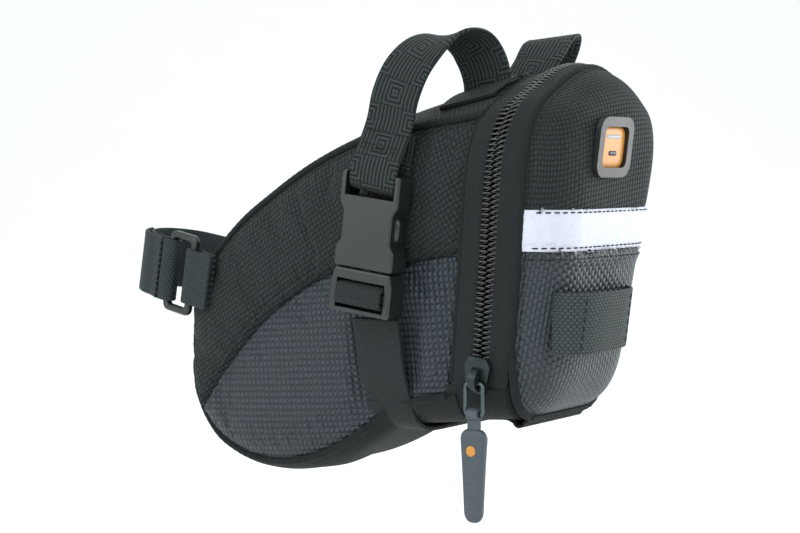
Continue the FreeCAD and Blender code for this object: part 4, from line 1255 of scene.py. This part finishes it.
LIGHT_LOOP_PATH = [(-4.0, -27.6), (1.2, -26.6), (5.0, -22.5), (6.7, -14.0), (6.8, -4.0), (6.0, 5.0),
                   (3.6, 13.0), (-0.8, 19.5)]
LIGHT_LOOP_Z = -13.25
PATCH_Y = -7.5
PATCH_Z = 47.5
LIGHT_LOOP_HEIGHT = 21.5


def build_lid_trim(grid):
    lid = surface_tree(["lid_top_cloth", "lid_stripe", "lid_low_cloth"])
    edge = grid[0]
    cord = smooth_path(np.concatenate([edge[:-1], edge[:1]]), 420)[:-1]
    wobble = 0.07 * np.sin(chord(cord) * 2 * math.pi / STITCH_PITCH)
    dress(tube("lid_piping", cord, 1.5 + wobble, 12, closed=True), "piping", "lid", slot="piping")

    # Rows of stitches beside the reflective tape and along the seam under it
    rows = []
    for z in (12.9, 25.1, 9.0):
        y = np.linspace(-37, 37, 140)
        start = np.stack([199.5 + LID_LEAN * z + 0 * y, y, z + 0 * y], 1)
        found, normal = on_surface(lid, start, (-1, 0, 0))
        keep = (np.abs(found[:, 2] - z) < 1.0) & (normal[:, 0] > 0.25)
        rows.append(stitches("lid_row", found[keep], normal[keep], lift=0.1))
    dress(join("lid_stitches", rows), "thread", "lid")
    ring = grid[9]
    outward = unit(ring - (190.0, 0.0, 14.0))
    keep = ring[:, 2] > -46
    dress(stitches("lid_edge_stitches", ring[keep], outward[keep], lift=0.1), "thread", "lid")

    # Webbing loop for a clip-on light, its left end folded over
    path = smooth_path(LIGHT_LOOP_PATH, 90)
    up = unit((LID_LEAN, 0, 1))
    face_x = LID_FACE_X + LIGHT_LOOP_Z * LID_LEAN
    sway = np.stack([face_x + path[:, 0], path[:, 1], np.full(90, LIGHT_LOOP_Z)], 1)
    loop = webbing("light_loop", sway, up, LIGHT_LOOP_HEIGHT, 1.5)
    fold = [(-3.6, -27.6), (-2.0, -28.0), (1.4, -27.9), (4.6, -25.4), (6.4, -21.4), (7.2, -18.6)]
    fold = smooth_path(fold, 30)
    back = np.stack([face_x + fold[:, 0] + 0.7, fold[:, 1] - 0.6, np.full(30, LIGHT_LOOP_Z)], 1)
    layer = webbing("light_loop_fold", back, up, LIGHT_LOOP_HEIGHT, 1.3)
    dress(join("light_loop", [loop, layer]), "light_web", "lid", "light_clip_loop", slot="webbing")
    rows = []
    for y in (-24.6, 9.5):
        column = np.linspace(-22.5, -4.0, 40)
        start = np.stack([207 + LID_LEAN * column, np.full(40, y), column], 1)
        found, normal = on_surface(surface_tree(["light_loop"]), start, (-1, 0, 0))
        rows.append(stitches("loop_row", found, normal, lift=0.1))
    dress(join("light_loop_stitches", rows), "thread", "lid")
    build_patch(lid)


def build_patch(lid):
    """The amber inlay inside the patch's border, with two plain raised bars on it."""
    angle = np.linspace(0, 2 * math.pi, 65)[:-1]
    c, s = np.cos(angle), np.sin(angle)
    outline = np.stack([8.8 * np.sign(c) * np.abs(c)**0.4, 7.3 * np.sign(s) * np.abs(s)**0.4], 1)
    rings = []
    for share, lift in ((1.0, -0.4), (1.0, 0.45), (0.94, 0.75), (0.7, 0.9), (0.4, 0.95), (0.05, 0.95)):
        yz = outline * share
        start = np.stack([np.full(64, 210.0), PATCH_Y + yz[:, 0], PATCH_Z + yz[:, 1]], 1)
        found, normal = on_surface(lid, start, (-1, 0, 0))
        rings.append(found + normal * lift)
    faces = grid_faces(len(rings), 64, close_columns=True)
    faces.append(tuple(range((len(rings) - 1) * 64, len(rings) * 64)))
    face = make_mesh("patch_face", np.concatenate(rings), faces)
    dress(face, "inlay", "lid", "patch_inlay", slot="patch_inlay")
    tree = surface_tree(["patch_face"])
    for name, z, half, radius in (("patch_bar_high", 51.2, 5.6, 0.9), ("patch_bar_low", 45.4, 3.2, 1.3)):
        y = np.linspace(PATCH_Y - half, PATCH_Y + half, 16)
        start = np.stack([np.full(16, 215.0), y, np.full(16, z)], 1)
        found, normal = on_surface(tree, start, (-1, 0, 0))
        ends = radius * np.sqrt(np.clip(1 - (np.linspace(-1, 1, 16))**8, 0.05, 1))
        dress(tube(name, found - normal * (radius - 0.4), ends, 10), "pale" if radius < 1 else "border", "lid")


# ---------------------------------------------------------------- straps

def leaned(points, x0, z0, angle):
    """Points (along x, y, up) drawn upright, leaned rearwards about (x0, z0)."""
    points = np.asarray(points, float)
    c, s = math.cos(angle), math.sin(angle)
    return np.stack([x0 + points[:, 0] * c + points[:, 2] * s, points[:, 1],
                     z0 - points[:, 0] * s + points[:, 2] * c], 1)


def both_sides(make):
    """Run make(side, sign) for the left (sign 1) and the right (sign -1)."""
    make("left", np.array([1.0, 1.0, 1.0]))
    make("right", np.array([1.0, -1.0, 1.0]))


FOLD = [(37.3, 21), (37.3, 12), (37.3, 4), (38.2, 0.3), (41.0, -0.9), (43.8, 0.3), (44.7, 4), (44.2, 10),
        (42.0, 16), (39.8, 23)]
RAIL_LOOP = [(133.2, -39.8, 55.7, 11), (135.6, -39.4, 66, 10), (139.0, -36.8, 76, 7), (143.8, -30.8, 84, 2),
             (149.2, -23.4, 87, -5), (153.6, -16.8, 84, -11), (156.4, -13.6, 77, -15), (157.6, -13.0, 71, -16),
             (157.8, -13.0, 67, -16)]


RIGHT_LOOP = [(133.2, -39.8, 55.7, 11, 0), (136.5, -40.4, 64.0, 9, 4), (143.0, -41.2, 72.5, 5, 12),
              (151.0, -40.8, 81.5, 0, 22), (157.6, -35.4, 88.6, -5, 26), (160.4, -26.5, 88.0, -9, 20),
              (160.2, -18.6, 81.0, -13, 10), (158.6, -14.2, 73.5, -15, 3), (157.8, -13.0, 67.0, -16, 0)]


def build_rail_straps():
    lean = math.radians(11)
    fold = leaned([(0, -out, up) for out, up in FOLD[:-1]], 128.74, 32.85, lean)
    fold = np.column_stack([fold, np.full(len(fold), 11.0), np.zeros(len(fold))])
    tree = surface_tree(["gusset_top"])

    def make(side, sign):
        loop = RAIL_LOOP if side == "left" else RIGHT_LOOP
        stops = [tuple(stop) + (0,) * (5 - len(stop)) for stop in loop]
        dense = smooth_path(np.concatenate([fold, stops]), 150)
        fall = np.radians(dense[:, 3])
        spread = np.radians(dense[:, 4])
        across = np.stack([np.cos(fall) * np.cos(spread), -np.cos(fall) * np.sin(spread), -np.sin(fall)],
                          1) * sign
        path = dense[:, :3] * sign
        piece = webbing("rail_strap_%s_web" % side, path, across)
        dress(piece, "maze", "bag", "rail_strap_%s" % side, slot="patterned_webbing")
        rows = []
        for up in (14.0, 15.6, 20.5):
            a = np.linspace(-8.6, 8.6, 30)
            out = np.interp(up, [10, 16, 23], [44.2, 42.0, 39.8]) + 0.8
            line = leaned(np.stack([a, np.full(30, -out), np.full(30, up)], 1), 128.74, 32.85, lean) * sign
            rows.append(stitches("tack", line, np.array([0, -1, 0.3]) * sign, length=1.7, pitch=2.1, lift=0.05))
        dress(join("rail_strap_tacks_%s" % side, rows), "thread", "bag")

        # Patch sewn over the strap's end
        x = np.linspace(145.5, 170.0, 26)
        y = np.linspace(-24.0, -4.0, 22)
        start = np.stack(np.meshgrid(x, y, indexing="ij") + [np.full((26, 22), 100.0)], -1) * sign
        found, normal = on_surface(tree, start.reshape(-1, 3), (0, 0, -1))
        found = (found + normal * 1.7).reshape(26, 22, 3)
        uv = np.stack([start[..., 1], start[..., 0]], -1)
        outward = normals_of(found)[..., 2].mean() > 0
        patch = cloth_sheet("strap_patch_%s" % side, found, uv, 1.6, inside=outward)
        dress(patch, "maze", "bag", "strap_anchor_%s" % side, slot="patterned_webbing")
        corners = [(2, 2), (2, 19), (23, 19), (23, 2), (2, 2), (23, 19)]
        line = []
        for (i0, j0), (i1, j1) in zip(corners[:-1], corners[1:]):
            for f in np.linspace(0, 1, 12, endpoint=False):
                i, j = i0 + (i1 - i0) * f, j0 + (j1 - j0) * f
                line.append(found[int(round(i)), int(round(j))])
        line = np.array(line)
        dress(stitches("strap_patch_stitches_%s" % side, line, (0.15, 0, 1), lift=0.12), "thread", "bag")

    both_sides(make)


def build_under_strap():
    ring = section_ring(125.0, 500)
    out = unit(np.stack([-np.gradient(ring[:, 1]), np.gradient(ring[:, 0])], 1))
    out = np.where(np.sum(out * ring, 1, keepdims=True) < 0, -out, out)
    ring = ring + out * 0.95
    left = ring[:250][ring[:250, 1] < -44.6]
    right = ring[250:][ring[250:, 1] < -44.6]
    path = np.concatenate([left[::-1], right[::-1]])
    path = smooth_path(path, 120)
    line = np.stack([np.full(120, 125.5) - 0.04 * (path[:, 1] + 45), path[:, 0], path[:, 1]], 1)
    dress(webbing("under_strap_web", line, (1, 0, 0)), "web", "bag", "under_strap", slot="webbing")
    side_z = [(37.6, -14.2), (36.3, -20.0), (34.2, -31.0), (abs(line[0, 1]), line[0, 2])]

    def make(side, sign):
        stops = smooth_path([(125.5, -out, z) for out, z in side_z], 40) * sign
        run = webbing("slack_%s" % side, stops, (1, 0, 0.0))
        dress(run, "web", "bag", "strap_slack_%s" % side, slot="webbing")
        anchor = [c * MM for c in stops[-1]]
        height = (stops[0][2] - stops[-1][2]) * math.cos(BUCKLE_LEAN)
        "plug_slide_%s" % side
        1 - PLUG_TRAVEL / height
        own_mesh(run)
        web = [(37.6, -0.9), (37.8, 6.0), (39.6, 10.0), (43.2, 10.4), (46.5, 9.4), (46.8, 6.8), (46.5, 4.2),
               (43.2, 3.3), (39.8, 2.0), (39.4, -0.9)]
        local = smooth_path([(0.0, -out, -25.5 + up) for out, up in web], 80)
        path = leaned(local, *BUCKLE_PLACE, BUCKLE_LEAN) * sign
        across = np.array([math.cos(BUCKLE_LEAN), 0, -math.sin(BUCKLE_LEAN)])
        piece = webbing("plug_webbing_%s" % side, path, across)
        dress(piece, "web", "plug_%s" % side, "plug_web_%s" % side, slot="webbing")

    both_sides(make)


def post_path(points, count):
    """A path in the seatpost's own plan (x, y), leaned with the post."""
    flat = smooth_path(points, count)
    return leaned(np.column_stack([flat, np.zeros(len(flat))]), 0.0, 0.0, POST_LEAN)


POST_UP = (math.sin(POST_LEAN), 0, math.cos(POST_LEAN))


def half_turn(x, y, radius, side):
    """Points of a half turn round a bar at (x, y), from the bag's side to the outer side."""
    return [(x + side * radius * math.sin(t), y + radius * math.cos(t)) for t in np.linspace(0, math.pi, 7)]


def build_post_straps():
    middle = POST_RADIUS + 0.8
    hoop = [(middle * math.cos(t), middle * math.sin(t)) for t in np.linspace(math.pi / 2, 1.5 * math.pi, 15)]
    path = [(33, 21.2), (20, 17.6), (8, 14.7)] + hoop + [(4.0, -14.5)]
    path += half_turn(8.2, -17.4, 2.6, 1) + [(5.3, -19.8)]
    strap = webbing("post_strap_web", post_path(path, 150), POST_UP, POST_WEBBING_WIDTH, POST_WEBBING)
    dress(strap, "post_web", "bag", "post_strap", slot="post_webbing")
    turns = [math.radians(a) for a in (262, 250, 236, 222, 208, 194)]
    tail = [(4.1, -19.8)] + [(TAIL_RADIUS * math.cos(t), TAIL_RADIUS * math.sin(t)) for t in turns]
    piece = webbing("post_strap_tail", post_path(tail, 60), POST_UP, POST_WEBBING_WIDTH, POST_WEBBING)
    dress(piece, "post_web", "strap_tail", "strap_tail", slot="post_webbing")
    tab = [(34, -21.3), (28, -19.2)] + half_turn(21.53, -19.51, 2.6, -1) + [(28, -22.8), (34, -23.7)]
    piece = webbing("ring_tab_web", post_path(tab, 70), POST_UP, TAB_WIDTH, POST_WEBBING)
    dress(piece, "post_web", "bag", "ring_tab", slot="post_webbing")


# ---------------------------------------------------------------- hinge, slider pull

def build_hinge():
    y = np.linspace(-21, 21, 40)
    angle = np.linspace(math.radians(200), math.radians(340), 15)
    profile = [(169.6, -49.4), (171.6, -49.5)]
    profile += [(176.0 + 2.5 * math.cos(a), -49.6 + 2.3 * math.sin(a)) for a in angle]
    profile += [(180.4, -49.1), (182.4, -48.2)]
    grid = np.array([[(x, v, z) for v in y] for x, z in profile])
    uv = np.stack([np.broadcast_to(np.arange(len(grid))[:, None] * 1.0, grid.shape[:2]),
                   np.broadcast_to(y[None], grid.shape[:2])], -1)
    fine_uv = refine(np.concatenate([uv, uv[..., :1]], -1), 2)[..., :2]
    piece = cloth_sheet("hinge_cloth", refine(grid, 2), fine_uv, 1.0)
    apply_modifiers(piece)
    dress(piece, "binding", None, "hinge_binding", slot="binding")
    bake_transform(piece)


HINGE_OF_GRIP = np.array([167.147, -36.368, -45.944])


def build_grip():
    heights = np.concatenate([np.linspace(0, 1, 16)**1.7 * 3.6, np.linspace(3.6, 30.0, 46)[1:],
                              30.0 + (1 - np.linspace(1, 0, 14)**1.9)[1:] * 3.0])
    rows = []
    sides = 36
    for h in heights:
        shoulder = math.sqrt(max(0.0, 1 - (1 - min(h / 3.6, 1))**2))
        foot = math.sqrt(max(0.0, 1 - max(0.0, (h - 29.4) / 3.6)**2))
        wide = (5.25 - 1.75 * (max(0.0, h - 4) / 29)**0.85) * (0.42 + 0.58 * shoulder) * (0.25 + 0.75 * foot)
        thick = (2.2 - 0.35 * h / 33) * (0.35 + 0.65 * shoulder) * (0.35 + 0.65 * foot)
        ring = []
        for k in range(sides):
            a = 2 * math.pi * k / sides
            c, s = math.cos(a), math.sin(a)
            x = wide * math.copysign(abs(c)**0.55, c)
            y = thick * math.copysign(abs(s)**0.75, s)
            flat = abs(x) < 0.72 * wide
            if 17.0 < h < 29.0 and flat:
                y -= math.copysign(0.22 * (0.5 + 0.5 * math.cos((h - 17.0) * 2 * math.pi / 2.4)), y)
            ring.append((x, y, -5.2 - h))
        rows.append(ring)
    grid = np.array(rows) + HINGE_OF_GRIP
    points = grid.reshape(-1, 3)
    faces = grid_faces(len(heights), sides, close_columns=True)
    faces.append(tuple(range(sides))[::-1])
    faces.append(tuple(range((len(heights) - 1) * sides, len(heights) * sides)))
    piece = make_mesh("grip_body", points, faces)
    dress(piece, "grip", "pull_grip", "pull_grip", slot="grip_rubber")
    angle = np.linspace(0, 2 * math.pi, 33)[:-1]
    rings = []
    for radius, out in ((1.9, 1.6), (1.9, 2.3), (1.75, 2.45), (1.2, 2.5), (0.3, 2.52)):
        rings.append(np.stack([radius * np.cos(angle), np.full(32, -out), radius * np.sin(angle) - 12.7], 1))
    points = np.array(rings).reshape(-1, 3) + HINGE_OF_GRIP
    faces = grid_faces(5, 32, close_columns=True) + [tuple(range(128, 160))]
    dress(make_mesh("grip_dot", points, faces), "inlay", "pull_grip", "pull_emblem", slot="patch_inlay")


def keep_cad(names, material, bevel=0.2):
    """CAD solids that stay: eased edges and a procedural surface."""
    for name in names:
        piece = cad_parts[name]
        piece.data.materials.clear()
        piece.data.materials.append(MATERIALS[material])
        if bevel:
            ease = piece.modifiers.new("eased edges", "BEVEL")
            ease.width = bevel * MM
            ease.segments = 2
            ease.limit_method = "ANGLE"
            ease.angle_limit = math.radians(35)
            ease.harden_normals = False


def build_prong_pads():
    """The finger pads of the buckles' prongs, bulging out of the sockets' side windows."""
    turns = 28
    angle = np.linspace(0, 2 * math.pi, turns, endpoint=False)

    def make(side, sign):
        for which, way in (("rear", 1), ("front", -1)):
            rows = []
            for tilt in np.linspace(-math.pi / 2, math.pi / 2, 19):
                ring = max(0.02, math.cos(tilt)**0.6)
                up = 6.2 + 4.7 * math.sin(tilt)
                grip = 0.16 * math.cos(up * 2 * math.pi / 1.5)
                out = 9.3 + (3.1 * ring + grip * ring) * np.sign(np.cos(angle)) * np.abs(np.cos(angle))**0.7
                deep = -(41.1 + 2.15 * ring * np.sign(np.sin(angle)) * np.abs(np.sin(angle))**0.6)
                rows.append(np.stack([way * out, deep, np.full(turns, up)], 1))
            points = leaned(np.concatenate(rows), *BUCKLE_PLACE, BUCKLE_LEAN) * sign
            faces = grid_faces(19, turns, close_columns=True)
            faces += [tuple(range(turns)), tuple(range(18 * turns, 19 * turns))]
            pad = make_mesh("prong_pad_%s_%s" % (which, side), points, faces)
            dress(pad, "buckle", "prong_%s_%s" % (which, side), slot="buckle")

    both_sides(make)


def build_hardware():
    sides = ("left", "right")
    keep_cad(["buckle_socket_%s" % s for s in sides] + ["buckle_plug_%s" % s for s in sides], "buckle", 0.25)
    keep_cad(["prong_%s_%s" % (w, s) for w in ("rear", "front") for s in sides], "buckle", 0.2)
    keep_cad(["strap_ring"], "buckle", 0.2)
    keep_cad(["slider_body", "slider_bail"], "metal", 0.15)
    keep_cad(["pull_wire"], "wire", 0)
    keep_cad(["pull_tab"], "grip", 0.15)
    keep_cad(["patch_border"], "border", 0.3)
    build_prong_pads()


# ---------------------------------------------------------------- studio

def build_studio():
    reach = 3.0
    profile = [(-reach, -0.13), (0.9, -0.13)]
    profile += [(0.9 + 0.9 * math.sin(t), 0.77 - 0.9 * math.cos(t)) for t in np.linspace(0.1, math.pi / 2, 12)]
    profile += [(1.8, 3.0)]
    view = math.radians(35)
    ahead = np.array([-math.sin(view), math.cos(view)])
    side = np.array([math.cos(view), math.sin(view)])
    points = []
    for along, z in profile:
        for across in (-reach, reach):
            xy = np.array([0.17, 0.0]) + ahead * along + side * across
            points.append((xy[0] / MM, xy[1] / MM, z / MM))
    floor = make_mesh("studio_floor", points, grid_faces(len(profile), 2))
    paper = Stuff("studio_paper", (0.95, 0.95, 0.95), roughness=0.9, shine=0.0)
    floor.data.materials.append(paper.material)
    world = bpy.context.scene.world or bpy.data.worlds.new("studio")
    bpy.context.scene.world = world
    world.use_nodes = True
    sky = world.node_tree.nodes["Background"]
    sky.inputs[0].default_value = (0.93, 0.99, 1.0, 1)
    sky.inputs[1].default_value = 0.85
    target = Vector((0.12, 0.0, 0.0))
    for name, place, size, power in (
            ("key", (0.15, -0.9, 0.75), 0.5, 4.2),
            ("left", (-0.5, -0.85, 0.32), 0.45, 2.6),
            ("right", (1.0, -0.25, 0.45), 0.45, 3.2),
            ("rim", (0.72, 0.95, 0.14), 0.5, 5.0),
            ("top", (0.1, 0.25, 1.0), 0.8, 3.2)):
        lamp = bpy.data.lights.new(name, "AREA")
        lamp.energy = power
        lamp.size = size
        light = bpy.data.objects.new(name, lamp)
        light.location = place
        light.rotation_euler = (target - Vector(place)).to_track_quat("-Z", "Y").to_euler()
        SCENE.objects.link(light)


def build_camera():
    """A long lens from the bag's left rear, a little above."""
    turn = math.radians(35.0)
    dip = math.radians(3.3)
    look = Vector((-math.sin(turn) * math.cos(dip), math.cos(turn) * math.cos(dip), -math.sin(dip)))
    lens = bpy.data.cameras.new("camera")
    lens.lens = 81.0
    lens.sensor_width = 36.0
    lens.clip_end = 20.0
    camera = bpy.data.objects.new("camera", lens)
    camera.location = (0.50525, -0.56449, 0.04215)
    camera.rotation_euler = look.to_track_quat("-Z", "Y").to_euler()
    SCENE.objects.link(camera)
    bpy.context.scene.camera = camera
    bpy.context.scene.view_settings.view_transform = "Standard"


build_sides()
build_piping()
build_gusset()
build_heel()
build_zip()
LID = build_lid()
build_hardware()
build_lid_trim(LID)
build_rail_straps()
build_under_strap()
build_post_straps()
build_hinge()
build_grip()
build_studio()
build_camera()
